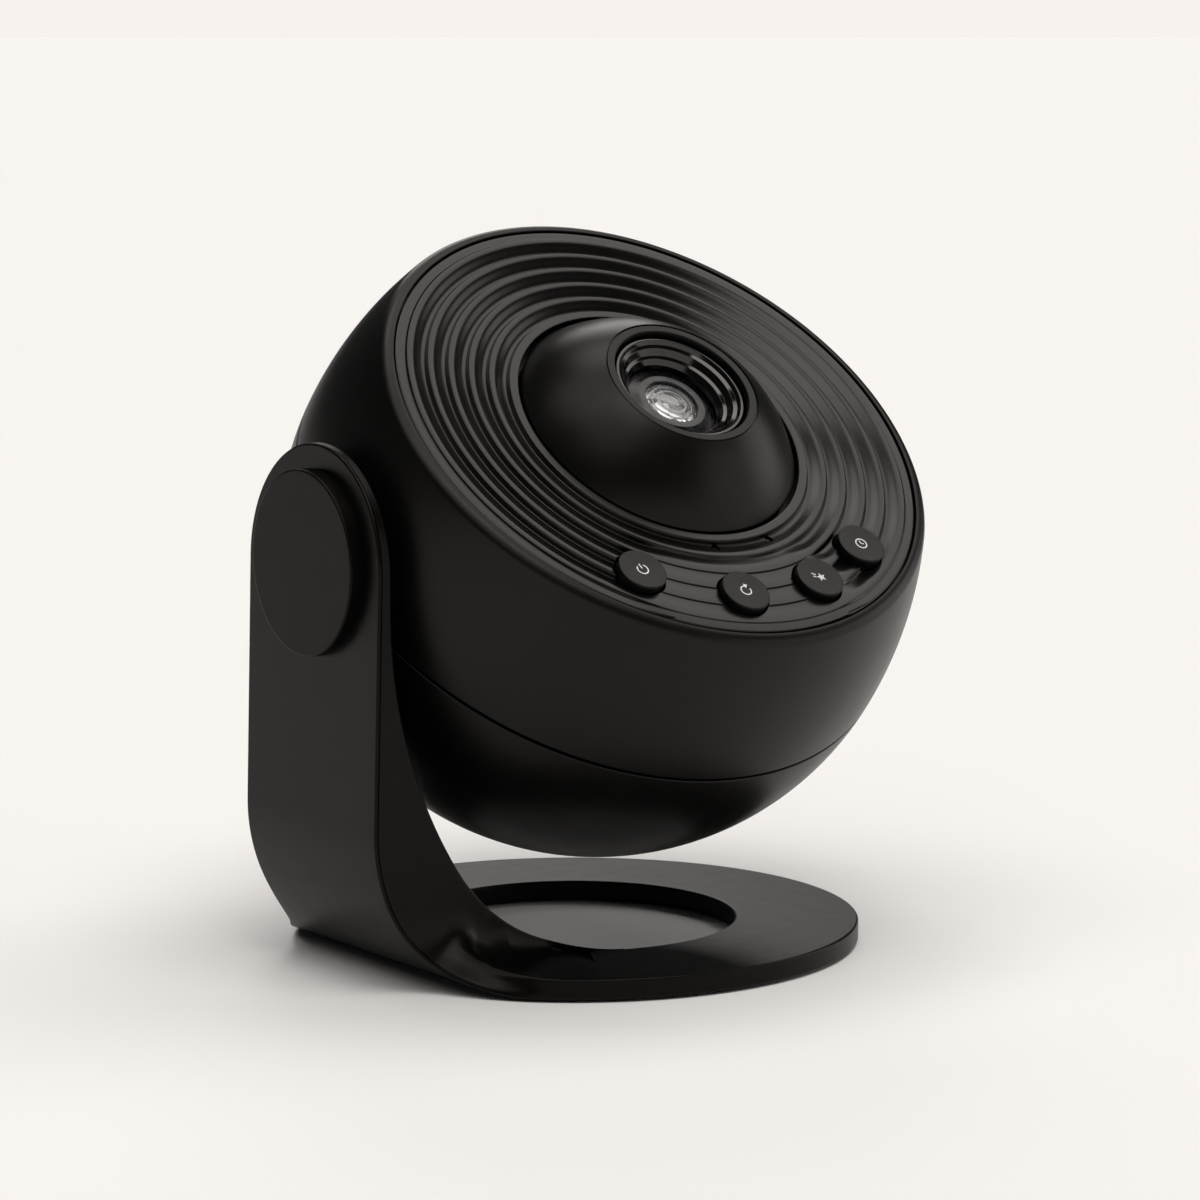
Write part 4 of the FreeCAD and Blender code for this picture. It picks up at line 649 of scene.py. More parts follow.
def add_rod(build, centre, radius, low, high, segments=48):
    """Round rod along the lens axis."""
    add_lathe(build, [(0, low), (radius, low), (radius, high), (0, high)], segments,
              Matrix.Translation(centre), closed=False)


def shell_bosses():
    """Posts round the screw wells and the block round the inlet."""
    build = bmesh.new()
    for place in screw_places():
        add_rod(build, place, 4.2 * MM, -36.9 * MM, -24 * MM)
    add_block(build, INLET.x + 3.6 * MM, INLET.z + 3.6 * MM, INLET.y - 2 * MM, 67.0 * MM, 1.5 * MM)
    return tool_from(build)


def shell_openings():
    """Screw wells, vent opening and inlet recess."""
    build = bmesh.new()
    for place in screw_places():
        add_rod(build, place, 3.1 * MM, -70 * MM, WELL_FLOOR)
    add_rod(build, Vector(), VENT_RADIUS, -90 * MM, -50 * MM, 96)
    add_block(build, INLET.x, INLET.z, INLET.y, 80 * MM, 1.2 * MM)
    return tool_from(build)


class PROJECTOR_OT_inlet(bpy.types.Operator):
    """Build the power inlet's metal shell and tongue in its recess"""
    bl_idname = "projector.inlet"
    bl_label = "Power inlet"

    def execute(self, context):
        build = bmesh.new()
        wide, high, wall = 9.0 * MM, 3.3 * MM, 0.3 * MM
        front, floor, back = INLET.y + 0.35 * MM, INLET.y - 5.4 * MM, INLET.y - 6 * MM
        outer = rectangle(wide, high, high * 0.49, 8)
        scale_x, scale_z = 1 - 2 * wall / wide, 1 - 2 * wall / high
        inner = [(x * scale_x, z * scale_z) for x, z in outer]
        places = ((outer, back), (outer, front), (inner, front), (inner, floor))
        skin(build, [level_row(build, outline, y) for outline, y in places], capped=True)
        shell = finish_mesh("inlet_shell", build, LEVEL, steel_finish())
        put(shell, "head", "usb_inlet")
        build = bmesh.new()
        tongue = rectangle(6.6 * MM, 0.7 * MM, 0.1 * MM)
        tip = INLET.y - 0.6 * MM
        skin(build, [level_row(build, tongue, floor), level_row(build, tongue, tip)], capped=True)
        put(finish_mesh("inlet_tongue", build, LEVEL, dark_finish()), "head")
        return {"FINISHED"}


# Operators: the waved face ------------------------------------------------------------------

LAND_START, LAND_END = math.radians(-114), math.radians(-76)
BUTTONS = {"power_button": -124.3, "rotate_button": -97.3, "meteor_button": -73.6, "timer_button": -53.0}
WINDOWS = (-97.8, -74.0)
WINDOW_CIRCLE = 35.6 * MM
DISH, FILM = 0.12 * MM, 0.03 * MM
HOOD_FOOT = 40.4 * MM


def ease(value):
    """Smooth step from 0 to 1."""
    value = min(1.0, max(0.0, value))
    return value * value * (3 - 2 * value)


def wave_height(panel, radius):
    """Height of the waves at a radius: a steep step up towards the centre, a crest and a long fall."""
    if radius >= panel.first:
        return panel.base
    number = min(int((panel.first - radius) / panel.pitch), panel.waves - 1)
    into = panel.first - number * panel.pitch - radius
    foot = panel.base if number == 0 else panel.valley
    if into < panel.step:
        return foot + (panel.crest - foot) * ease(into / panel.step)
    if number == panel.waves - 1:
        return panel.crest
    fall = ease((into - panel.step - 0.7 * MM) / (panel.pitch - panel.step - 0.9 * MM))
    return panel.crest + (panel.valley - panel.crest) * fall


def land_distance(panel, x, y):
    """Distance outside the flat strip that carries the buttons; negative inside it."""
    angle = math.atan2(y, x)
    if LAND_START <= angle <= LAND_END:
        return abs(math.hypot(x, y) - panel.land) - panel.land_half
    ends = [Vector((math.cos(end), math.sin(end))) * panel.land for end in (LAND_START, LAND_END)]
    return min((Vector((x, y)) - end).length for end in ends) - panel.land_half


def panel_height(panel, x, y):
    """Waves, fading into the flat strip."""
    wave = wave_height(panel, math.hypot(x, y))
    share = panel.trace + (1 - panel.trace) * ease(land_distance(panel, x, y) / panel.blend)
    return panel.crest + (wave - panel.crest) * share


def panel_radii(panel):
    """Radii of the panel's rings, close together on each step."""
    radii = [panel.radius - 0.35 * MM, panel.radius - 0.9 * MM, panel.first + 0.35 * MM]
    for number in range(panel.waves):
        edge = panel.first - number * panel.pitch
        radii += [edge - panel.step * part for part in (0, 0.12, 0.25, 0.4, 0.6, 0.75, 0.88, 1.0)]
        left = edge - panel.pitch if number < panel.waves - 1 else panel.well + 0.3 * MM
        span = edge - panel.step - left
        radii += [edge - panel.step - span * part / 9 for part in range(1, 9)]
    return radii


class PROJECTOR_OT_face_panel(bpy.types.Operator):
    """Build the waved panel with its flat strip, button holes and windows"""
    bl_idname = "projector.face_panel"
    bl_label = "Face panel"

    def execute(self, context):
        panel, buttons = context.scene.projector_panel, context.scene.projector_buttons
        build = bmesh.new()
        segments = 420
        rows = []
        outline = [(panel.well, panel.base - 4.4 * MM), (panel.well + 1.8 * MM, panel.base - 4.4 * MM),
                   (panel.well + 1.8 * MM, panel.base - 2.4 * MM), (panel.radius, panel.base - 2.4 * MM),
                   (panel.radius, panel.base - 0.3 * MM), (panel.radius - 0.1 * MM, panel.base - 0.1 * MM)]
        outline += [(radius, None) for radius in panel_radii(panel)]
        outline += [(panel.well + 0.3 * MM, panel.crest), (panel.well + 0.08 * MM, panel.crest - 0.08 * MM),
                    (panel.well, panel.crest - 0.3 * MM)]
        for radius, height in outline:
            row = []
            for number in range(segments):
                angle = 2 * math.pi * number / segments
                x, y = radius * math.cos(angle), radius * math.sin(angle)
                z = panel_height(panel, x, y) if height is None else height
                row.append(build.verts.new((x, y, z)))
            rows.append(row)
        skin(build, rows + rows[:1])
        piece = finish_mesh("waved_panel", build, Matrix.Identity(4), look("panel"), 50.0)
        subtract(piece, panel_holes(buttons))
        put_on_head(piece, "face_panel", sharp=50.0)
        return {"FINISHED"}


def around(circle, angle):
    """Place on a circle about the lens axis, from an angle in degrees."""
    return Vector((circle * math.cos(math.radians(angle)), circle * math.sin(math.radians(angle)), 0))


def panel_holes(buttons):
    """Cutters for the button holes, with a slight countersink, and for the windows."""
    build = bmesh.new()
    for angle in BUTTONS.values():
        hole, top = buttons.hole, 35.2 * MM
        outline = [(0, 20 * MM), (hole, 20 * MM), (hole, top - 0.25 * MM),
                   (hole + 0.08 * MM, top - 0.08 * MM), (hole + 0.3 * MM, top + 0.02 * MM),
                   (hole + 0.3 * MM, 45 * MM), (0, 45 * MM)]
        add_lathe(build, outline, 72, Matrix.Translation(around(buttons.circle, angle)), closed=False)
    for angle in WINDOWS:
        add_rod(build, around(WINDOW_CIRCLE, angle), 0.95 * MM, 20 * MM, 45 * MM, 24)
    return tool_from(build)


class PROJECTOR_OT_windows(bpy.types.Operator):
    """Build the two indicator windows"""
    bl_idname = "projector.windows"
    bl_label = "Indicator windows"

    def execute(self, context):
        build = bmesh.new()
        for angle in WINDOWS:
            outline = soften([(0, 28 * MM, 0), (0.85 * MM, 28 * MM, 0), (0.85 * MM, 33.6 * MM, 0.2 * MM),
                              (0, 33.6 * MM, 0)])
            add_lathe(build, outline, 24, Matrix.Translation(around(WINDOW_CIRCLE, angle)), closed=False)
        smoke = kept("window_smoke", gloss, (0.006, 0.004, 0.004), 0.3)
        piece = finish_mesh("indicator_windows", build, HEAD, smoke)
        put(piece, "head", "indicator_lights")
        return {"FINISHED"}


# Operators: buttons and icons ---------------------------------------------------------------

class PROJECTOR_OT_buttons(bpy.types.Operator):
    """Build the four push buttons and the icons on them"""
    bl_idname = "projector.buttons"
    bl_label = "Buttons"

    def execute(self, context):
        sizes = context.scene.projector_buttons
        icons = {"power_button": power_icon, "rotate_button": rotate_icon,
                 "meteor_button": star_icon, "timer_button": clock_icon}
        for name, angle in BUTTONS.items():
            place = HEAD @ Matrix.Translation(around(sizes.circle, angle))
            put(lathe(name + "_cap", cap_outline(sizes), place, look("shell"), 96), name, name)
            build = bmesh.new()
            icons[name](build, sizes.icon / 2)
            print_on_cap(build, sizes, place, name)
        return {"FINISHED"}


def cap_outline(sizes):
    """Section of a button: rounded edge, shallow dish, flange below."""
    return [(0, sizes.foot - 0.9 * MM), (sizes.radius + 1.1 * MM, sizes.foot - 0.9 * MM),
            (sizes.radius + 1.1 * MM, sizes.foot), (sizes.radius, sizes.foot),
            *arc((sizes.radius - sizes.rounding, sizes.top - sizes.rounding), sizes.rounding, 0, 90, 8),
            (sizes.radius * 0.6, sizes.top - DISH * 0.5), (sizes.radius * 0.3, sizes.top - DISH * 0.9),
            (0, sizes.top - DISH)]


def print_on_cap(build, sizes, place, name):
    """Lay a flat icon on the cap as a thin film that follows the dish."""
    result = bmesh.ops.extrude_face_region(build, geom=build.faces[:])
    for vert in result["geom"]:
        if isinstance(vert, bmesh.types.BMVert):
            vert.co.z += FILM
    for vert in build.verts:
        share = vert.co.to_2d().length / (sizes.radius - sizes.rounding)
        vert.co.z += sizes.top - DISH * (1 - share * share) - FILM * 0.3
    turn = Matrix.Rotation(math.radians(8), 4, "Z")
    put(finish_mesh(name.replace("button", "icon"), build, place @ turn, look("icon")), name)


def add_strip(build, points, width, closed=False):
    """Flat line of even width along points."""
    count = len(points)
    left, right = [], []
    for number, point in enumerate(points):
        spot = Vector(point)
        before = Vector(points[number - 1]) if closed or number else spot
        after = Vector(points[(number + 1) % count]) if closed or number < count - 1 else spot
        way = (after - before).normalized()
        side = Vector((-way.y, way.x)) * width / 2
        left.append(build.verts.new((*(spot + side), 0)))
        right.append(build.verts.new((*(spot - side), 0)))
    last = count if closed else count - 1
    for number in range(last):
        following = (number + 1) % count
        build.faces.new((right[number], right[following], left[following], left[number]))


def power_icon(build, size):
    """Ring with a gap at the top and a bar in it."""
    add_strip(build, arc((0, 0), size * 0.82, 128, 412, 28), size * 0.19)
    add_strip(build, [(0, size * 0.15), (0, size)], size * 0.19)


def rotate_icon(build, size):
    """Open ring that ends in an arrow head."""
    add_strip(build, arc((0, 0), size * 0.78, 70, 370, 28), size * 0.19)
    tip = Vector((size * 0.78 * math.cos(math.radians(70)), size * 0.78 * math.sin(math.radians(70))))
    build.faces.new([build.verts.new((tip.x + x * size, tip.y + y * size, 0))
                     for x, y in ((-0.05, 0.45), (-0.05, -0.42), (0.52, 0.1))])


def star_icon(build, size):
    """Five-pointed star with a tail of two lines."""
    middle_x, middle_y = size * 0.15, -size * 0.1
    points = []
    for number in range(10):
        reach = size * (0.78 if number % 2 == 0 else 0.34)
        angle = math.radians(90 + 36 * number)
        x, y = middle_x + reach * math.cos(angle), middle_y + reach * math.sin(angle)
        points.append(build.verts.new((x, y, 0)))
    centre = build.verts.new((middle_x, middle_y, 0))
    for number in range(10):
        build.faces.new((centre, points[number], points[(number + 1) % 10]))
    add_strip(build, [(-size, size * 0.95), (-size * 0.45, size * 0.5)], size * 0.18)
    add_strip(build, [(-size * 1.05, size * 0.4), (-size * 0.65, size * 0.12)], size * 0.18)


def clock_icon(build, size):
    """Ring with two hands."""
    add_strip(build, arc((0, 0), size * 0.85, 0, 350, 35), size * 0.2, closed=True)
    add_strip(build, [(0, size * 0.55), (0, 0), (size * 0.4, -size * 0.2)], size * 0.18)


# Operators: focus dome and lens -------------------------------------------------------------

class PROJECTOR_OT_focus_dome(bpy.types.Operator):
    """Build the focus dome"""
    bl_idname = "projector.focus_dome"
    bl_label = "Focus dome"

    def execute(self, context):
        lens = context.scene.projector_lens
        centre = (0, lens.dome_centre)
        foot = math.degrees(math.acos(lens.dome / lens.dome_arc))
        top = math.degrees(math.acos((lens.rim_outer + lens.groove) / lens.dome_arc))
        wall = 2.2 * MM
        inner = lens.dome_arc - wall
        tube = lens.rim_inner + 1.2 * MM
        outline = [(lens.dome, 30.1 * MM), *arc(centre, lens.dome_arc, foot, top, 40)]
        groove_floor = lens.rim - 1.2 * lens.groove
        bore = lens.rim_inner - 0.3 * MM
        outline += soften([(lens.rim_outer + 0.9 * lens.groove, groove_floor, 0),
                           (lens.rim_outer, groove_floor, 0), (lens.rim_outer, lens.rim, 0.18 * MM),
                           (lens.rim_inner, lens.rim, 0.25 * MM), (bore, lens.rim - MM, 0)])
        outline += [(bore, 24 * MM), (tube, 24 * MM)]
        high = math.degrees(math.acos(tube / inner))
        low = math.degrees(math.acos((lens.dome - wall) / inner))
        outline += arc(centre, inner, high, low, 16)
        outline += [(lens.dome - wall, 29.2 * MM), (33.6 * MM, 29.2 * MM), (33.6 * MM, 30.1 * MM)]
        put(lathe("focus_dome_shell", outline, HEAD, look("dome"), 256), "focus_ring", "focus_dome")
        return {"FINISHED"}


class PROJECTOR_OT_lens(bpy.types.Operator):
    """Build the lens hood with its rings, the retaining ring and the front lens"""
    bl_idname = "projector.lens"
    bl_label = "Lens"

    def execute(self, context):
        lens = context.scene.projector_lens
        self.build_hood(lens)
        self.build_ring(lens)
        self.build_glass(lens)
        return {"FINISHED"}

    def build_hood(self, lens):
        """Funnel with a rounded edge, two shallow steps and a throat."""
        mouth = lens.hood - 0.7 * MM
        corners = [(lens.throat, HOOD_FOOT, 0), (lens.hood, HOOD_FOOT, 0),
                   (lens.hood, lens.hood_top, 0.25 * MM), (mouth, lens.hood_top, 0.2 * MM),
                   (mouth - 0.5 * MM, lens.hood_top - 0.9 * MM, 0.1 * MM),
                   (mouth - 1.3 * MM, lens.hood_top - 1.2 * MM, 0.15 * MM),
                   (mouth - 2.2 * MM, lens.hood_top - 2.5 * MM, 0.15 * MM),
                   (mouth - 2.9 * MM, lens.hood_top - 2.8 * MM, 0.15 * MM),
                   (lens.throat, lens.throat_height, 0.2 * MM)]
        put(lathe("lens_funnel", soften(corners, 4), HEAD, look("hood"), 160, 60), "lens", "lens_hood")

    def build_ring(self, lens):
        """Satin ring that holds the glass."""
        bore = lens.glass + 0.1 * MM
        corners = [(bore, HOOD_FOOT, 0), (10.1 * MM, HOOD_FOOT, 0), (10.1 * MM, 41.1 * MM, 0.1 * MM),
                   (lens.glass + 1.8 * MM, 41.8 * MM, 0.3 * MM),
                   (lens.glass + 0.25 * MM, 41.8 * MM, 0.2 * MM), (bore, 41.3 * MM, 0)]
        ring = kept("ring_metal", metal, (0.055, 0.055, 0.057), 0.24)
        put(lathe("lens_ring", soften(corners, 4), HEAD, ring, 128, 60), "lens", "lens_bezel")

    def build_glass(self, lens):
        """Domed front lens with two polished steps round its middle."""
        outline = [(0, 37.6 * MM), (lens.glass, 37.6 * MM), (lens.glass, 41.0 * MM)]
        low = 41.0 * MM
        for outer, inner, rise in ((5.7, 4.5, 0.50), (4.4, 2.9, 0.42), (2.8, 0.0, 0.50)):
            for step in range(9):
                share = step / 8
                radius = (outer + (inner - outer) * share) * MM
                outline.append((radius, low + rise * MM * math.sin(math.pi / 2 * share)))
            low += (rise - 0.11) * MM
        put(lathe("front_glass", outline, HEAD, glass_finish(), 96, 20.0), "lens", "front_lens")


# Operators: the bracket ---------------------------------------------------------------------

SLACK = 0.02 * MM
SWEEP = 2.4


class BracketShape:
    """Where the bracket's surfaces lie, about the point on the table under the ball's centre."""

    def __init__(self, sizes):
        self.sizes = sizes
        self.ring_x = -sizes.ring_shift
        self.ring_top = sizes.foot + sizes.plate
        self.make_plan()
        self.make_skin()
        self.make_plate()
        self.make_ramp()

    def make_plan(self):
        """Where the plan's neck leaves the arm and where it touches the ring."""
        sizes = self.sizes
        reach = sizes.ring + sizes.neck
        self.neck_y = sizes.arm_half + sizes.neck
        self.neck_x = self.ring_x - math.sqrt(reach ** 2 - self.neck_y ** 2)
        self.touch_x = self.ring_x + (self.neck_x - self.ring_x) * sizes.ring / reach

    def make_skin(self):
        """Centres of the outer skin's two arcs, which run into each other and into the underside."""
        sizes = self.sizes
        self.underside = sizes.foot + SLACK
        bend_x = self.face_x(sizes.bend_height) + sizes.bend / math.cos(sizes.arm_lean)
        self.bend_centre = Vector((bend_x, sizes.bend_height))
        foot_z = self.underside + sizes.bend_foot
        reach, drop = sizes.bend - sizes.bend_foot, sizes.bend_height - foot_z
        self.foot_centre = Vector((self.bend_centre.x - math.sqrt(reach ** 2 - drop ** 2), foot_z))
        self.skin_joint = 180 + math.degrees(math.asin(drop / reach))

    def face_x(self, height):
        """Where the leaning outer face is at a height."""
        return -self.sizes.arm_face - (BALL.z - height) * math.tan(self.sizes.arm_lean)

    def make_plate(self):
        """Inner skin of the bent plate, as a row of points from the arm to the ring's top."""
        sizes = self.sizes
        radius = sizes.bend - sizes.plate
        last = 180 + math.degrees(math.asin((sizes.bend_height - self.ring_top) / radius))
        row = arc(self.bend_centre, radius, 180, last, 60)
        start = (0.8 * MM - sizes.arm + sizes.arm_thick, 0.12)
        self.plate = [Vector(point) for point in (start, *row, (0.2, self.ring_top - SLACK))]

    def make_ramp(self):
        """Inner curve of the bend as a fine row of points, from the arm's top to the ring."""
        sizes = self.sizes
        joint = math.degrees(sizes.ramp_joint)
        arm_x = -sizes.arm + sizes.arm_thick
        joint_x = arm_x + sizes.ramp_upper * (1 - math.cos(sizes.ramp_joint))
        lower_x = joint_x + sizes.ramp_lower * math.cos(sizes.ramp_joint)
        lower_z = self.ring_top + sizes.ramp_lower
        joint_z = lower_z - sizes.ramp_lower * math.sin(sizes.ramp_joint)
        start_z = joint_z + sizes.ramp_upper * math.sin(sizes.ramp_joint)
        self.ramp = [Vector((arm_x, 0.2))]
        upper = arc((arm_x + sizes.ramp_upper, start_z), sizes.ramp_upper, 180, 180 + joint, 120)
        lower = arc((lower_x, lower_z), sizes.ramp_lower, 180 + joint, 270, 120)
        self.ramp += [Vector(point) for point in upper + lower[1:]]
        self.ramp.append(Vector((0.2, self.ring_top)))

    def half_width(self, x):
        """Half width of the plan at a place along X."""
        sizes = self.sizes
        if x <= self.neck_x:
            return sizes.arm_half
        if x < self.touch_x:
            return self.neck_y - math.sqrt(sizes.neck ** 2 - (x - self.neck_x) ** 2)
        return math.sqrt(max((sizes.ring - SLACK) ** 2 - (x - self.ring_x) ** 2, 0.0))

    def hole_half(self, x):
        """Half width of the ring's hole at a place along X."""
        return math.sqrt(max((self.sizes.hole - SLACK) ** 2 - (x - self.ring_x) ** 2, 0.0))

    def depth_to(self, row, start, way):
        """Distance from a point of the outer skin, inwards, to a row of points."""
        best = 1.0
        for first, last in zip(row, row[1:]):
            edge = last - first
            cross = way.x * edge.y - way.y * edge.x
            if abs(cross) < 1e-12:
                continue
            gap = first - start
            along = (gap.x * edge.y - gap.y * edge.x) / cross
            share = (gap.x * way.y - gap.y * way.x) / cross
            if -1e-6 <= share <= 1 + 1e-6 and 0 < along < best:
                best = along
        return best

    def stations(self):
        """Places along the outer skin, each with the way inwards, from the pivot to the ring's middle."""
        sizes = self.sizes
        places = []
        top = BALL.z - sizes.arm_drop
        turn = sizes.bend_height + sizes.bend * math.sin(sizes.arm_lean)
        for step in range(24):
            height = top + (turn - top) * step / 24
            places.append((Vector((self.face_x(height), height)), Vector((1, 0))))
        start = 180 - math.degrees(sizes.arm_lean)
        for point in arc(self.bend_centre, sizes.bend, start, self.skin_joint, 34):
            spot = Vector(point)
            places.append((spot, (self.bend_centre - spot).normalized()))
        lean = places[-1][1]
        tip = self.ring_x - sizes.hole
        row = arc(self.foot_centre, sizes.bend_foot, self.skin_joint, 270, 12)[1:]
        row += [(row[-1][0] + (tip - row[-1][0]) * step / 7, self.underside) for step in range(1, 8)]
        for number, point in enumerate(row, start=1):
            way = lean.lerp(Vector((0, 1)), ease(number / len(row))).normalized()
            places.append((Vector(point), way))
        for step in range(1, 31):
            x = self.ring_x - sizes.hole * math.cos(math.radians(72 * step / 30))
            places.append((Vector((x, self.underside)), Vector((0, 1))))
        return places

    def half_section(self, start, way):
        """Half of the section across the bracket: (y, depth) from the hole or the middle and back."""
        sizes, edge = self.sizes, self.sizes.edge
        ramp = self.depth_to(self.ramp, start, way)
        plate = min(self.depth_to(self.plate, start, way), 0.7 * ramp)
        room = max(ramp - plate, 0.0)
        cove = max(min(sizes.cove, 0.85 * room), 1e-5)
        half = sizes.arm_half
        outer = self.half_width(start.x)
        inner = self.hole_half(start.x)
        soft = min(edge, inner / 2)
        across = [inner + soft + (outer - edge - inner - soft) * part / 6 for part in range(7)]
        points = [(y, 0.0) for y in across]
        points += [(y, depth) for y, depth in arc((outer - edge, edge), edge, -90, 0, 4)[1:]]
        line = sizes.line * ease(way.x / 0.6)
        points += [(outer - line, edge + 0.2 * line), (outer - line, edge + 0.8 * line),
                   (outer, edge + line)]
        side = []
        wall_top = self.wall_top(start, way, plate, cove)
        for part in range(1, 6):
            depth = edge + (wall_top - 2 * edge) * part / 6
            side.append((self.half_width(start.x + way.x * depth), depth))
        brim = self.half_width(start.x + way.x * wall_top)
        side += arc((brim - edge, wall_top - edge), edge, 0, 90, 4)[:-1]
        side += self.cove_points(brim - edge, half, plate, cove)
        flank = max(ramp - edge, plate + cove)
        side.append((half, (plate + cove + flank) / 2))
        points += self.fade_to_sweep(side, outer, ramp)
        points += arc((half - edge, ramp - edge), edge, 0, 90, 4)
        reach = half - edge
        inside = min(inner + soft, reach) if inner < reach else reach
        points += [(reach + (inside - reach) * part / 6, ramp) for part in range(1, 7)]
        return self.keep_out_of_hole(points, inner, soft, ramp)

    def fade_to_sweep(self, side, outer, ramp):
        """Where the plan has hardly widened, the side is one soft sweep from the edge to the flank."""
        sizes = self.sizes
        share = ease((outer - sizes.arm_half - sizes.brim_start) / sizes.brim_run)
        low = sizes.edge + sizes.line
        high = ramp - sizes.edge
        reach = min(high - low, sizes.brim_reach)
        points = []
        for number, (y, depth) in enumerate(side, start=1):
            even = low + (high - low) * number / (len(side) + 1)
            height = even + (depth - even) * share
            rest = 1 - min(1.0, max(0.0, (height - low) / reach))
            soft = sizes.arm_half + (outer - sizes.arm_half) * rest ** SWEEP
            points.append((soft + (y - soft) * share, height))
        return points

    def wall_top(self, start, way, plate, cove):
        """Height at which the outline's wall meets the cove or the plate."""
        brim = self.half_width(start.x + way.x * plate)
        run = self.sizes.arm_half + cove - brim
        if run <= 0:
            return plate
        return plate + cove - math.sqrt(max(cove ** 2 - min(run, cove) ** 2, 0.0))

    def cove_points(self, brim, half, plate, cove):
        """From the brim over the plate and up the cove to the flank."""
        brim = max(brim, half)
        foot = min(half + cove, brim)
        points = [(brim + (foot - brim) * part / 4, plate) for part in range(1, 4)] if foot < brim else []
        while len(points) < 3:
            points.append((foot, self.cove_height(foot, half, plate, cove)))
        first = math.asin(min(1.0, max(0.0, (half + cove - foot) / cove)))
        for part in range(9):
            angle = first + (math.pi / 2 - first) * part / 8
            points.append((half + cove - cove * math.sin(angle), plate + cove - cove * math.cos(angle)))
        return points

    def cove_height(self, y, half, plate, cove):
        run = min(cove, max(0.0, half + cove - y))
        return plate + cove - math.sqrt(max(cove ** 2 - run ** 2, 0.0))

    def keep_out_of_hole(self, points, inner, soft, ramp):
        """Close the section along the hole's wall, or along the middle where there is no hole."""
        kept_points = [(max(y, inner), depth) for y, depth in points]
        if soft <= 1e-7:
            return kept_points + [(0.0, ramp * 0.98), (0.0, ramp * 0.5), (0.0, ramp * 0.02)]
        depth = kept_points[-1][1]
        return kept_points + [(inner + soft * 0.3, depth - soft * 0.3 * 0.3), (inner, depth - soft),
                              (inner, soft)]


def add_bracket_half(build, shape):
    """Skin half of the bracket through its stations, and close its ends."""
    places = shape.stations()
    sections = [shape.half_section(*place) for place in places]
    rows = []
    for (start, way), section in zip(places, sections):
        rows.append([build.verts.new((start.x + way.x * depth, y, start.y + way.y * depth))
                     for y, depth in section])
    skin(build, rows)
    build.faces.new(rows[-1])
    centre = places[0][0]
    thickness = max(depth for y, depth in sections[0])
    steps = 40
    fan = []
    for step in range(steps + 1):
        turn = math.pi / 2 * step / steps
        row = []
        for y, depth in sections[0]:
            height = centre.y + y * math.sin(turn)
            face = shape.face_x(height)
            x = face + (centre.x + thickness - face) * depth / thickness
            row.append(build.verts.new((x, y * math.cos(turn), height)))
        fan.append(row)
    skin(build, fan)


def add_ring_arc(build, sizes, ring_x):
    """The ring foot's free part, with its ends inside the half that carries the arm."""
    low, high, edge, last = sizes.foot, sizes.foot + sizes.plate, sizes.edge, 120
    outline = soften([(sizes.hole, low, edge), (sizes.ring, low, edge), (sizes.ring, high, edge),
                      (sizes.hole, high, edge)])
    rows = []
    for angle in range(-last, last + 1):
        way = Vector((math.cos(math.radians(angle)), math.sin(math.radians(angle))))
        rows.append([build.verts.new((ring_x + way.x * radius, way.y * radius, height))
                     for radius, height in outline])
    skin(build, rows, capped=True)


def drop_inner_walls(build):
    """Take out the faces on the plane of symmetry, which would be inside the bracket."""
    inside = [face for face in build.faces if all(abs(vert.co.y) < 1e-7 for vert in face.verts)]
    bmesh.ops.delete(build, geom=inside, context="FACES")


class PROJECTOR_OT_bracket(bpy.types.Operator):
    """Build the bracket: arm, bend, ramp with coves, and ring foot"""
    bl_idname = "projector.bracket"
    bl_label = "Bracket"

    def execute(self, context):
        sizes = context.scene.projector_stand
        shape = BracketShape(sizes)
        build = bmesh.new()
        add_bracket_half(build, shape)
        bmesh.ops.remove_doubles(build, verts=build.verts, dist=2e-6)
        bmesh.ops.dissolve_degenerate(build, edges=build.edges, dist=1e-7)
        drop_inner_walls(build)
        result = bmesh.ops.duplicate(build, geom=build.verts[:] + build.edges[:] + build.faces[:])
        copies = [item for item in result["geom"] if isinstance(item, bmesh.types.BMVert)]
        bmesh.ops.scale(build, vec=(1, -1, 1), verts=copies)
        bmesh.ops.remove_doubles(build, verts=build.verts, dist=2e-6)
        add_ring_arc(build, sizes, shape.ring_x)
        piece = finish_mesh("bracket", build, STAND, look("bracket"), 40)
        put(piece, "stand", "stand_bracket")
        return {"FINISHED"}


class PROJECTOR_OT_pivot_cap(bpy.types.Operator):
    """Build the round cap over the pivot"""
    bl_idname = "projector.pivot_cap"
    bl_label = "Pivot cap"

    def execute(self, context):
        sizes = context.scene.projector_stand
        turn = LEVEL @ Matrix.Rotation(-math.pi / 2, 4, "Y")
        corners = [(0, sizes.cap_seat, 0), (sizes.cap, sizes.cap_seat, 0),
                   (sizes.cap, sizes.cap_face, 0.45 * MM), (sizes.cap * 0.95, sizes.cap_face, 0),
                   (0, sizes.cap_face, 0)]
        satin = kept("cap_satin", moulded, context.scene.projector_finish.bracket[:], 0.36, 0.09)
        piece = lathe("cap_disc", soften(corners, 8), turn, satin, 192)
        put(piece, "stand", "pivot_cap")
        return {"FINISHED"}


# Operators: the back ------------------------------------------------------------------------

def open_tree(name, inputs):
    """New geometry tree with a geometry input and output and the named inputs."""
    tree = bpy.data.node_groups.new(name, "GeometryNodeTree")
    tree.interface.new_socket("Geometry", in_out="INPUT", socket_type="NodeSocketGeometry")
    for label, (kind, value) in inputs.items():
        tree.interface.new_socket(label, in_out="INPUT", socket_type=kind).default_value = value
    tree.interface.new_socket("Geometry", in_out="OUTPUT", socket_type="NodeSocketGeometry")
    return tree, tree.nodes.new("NodeGroupInput")


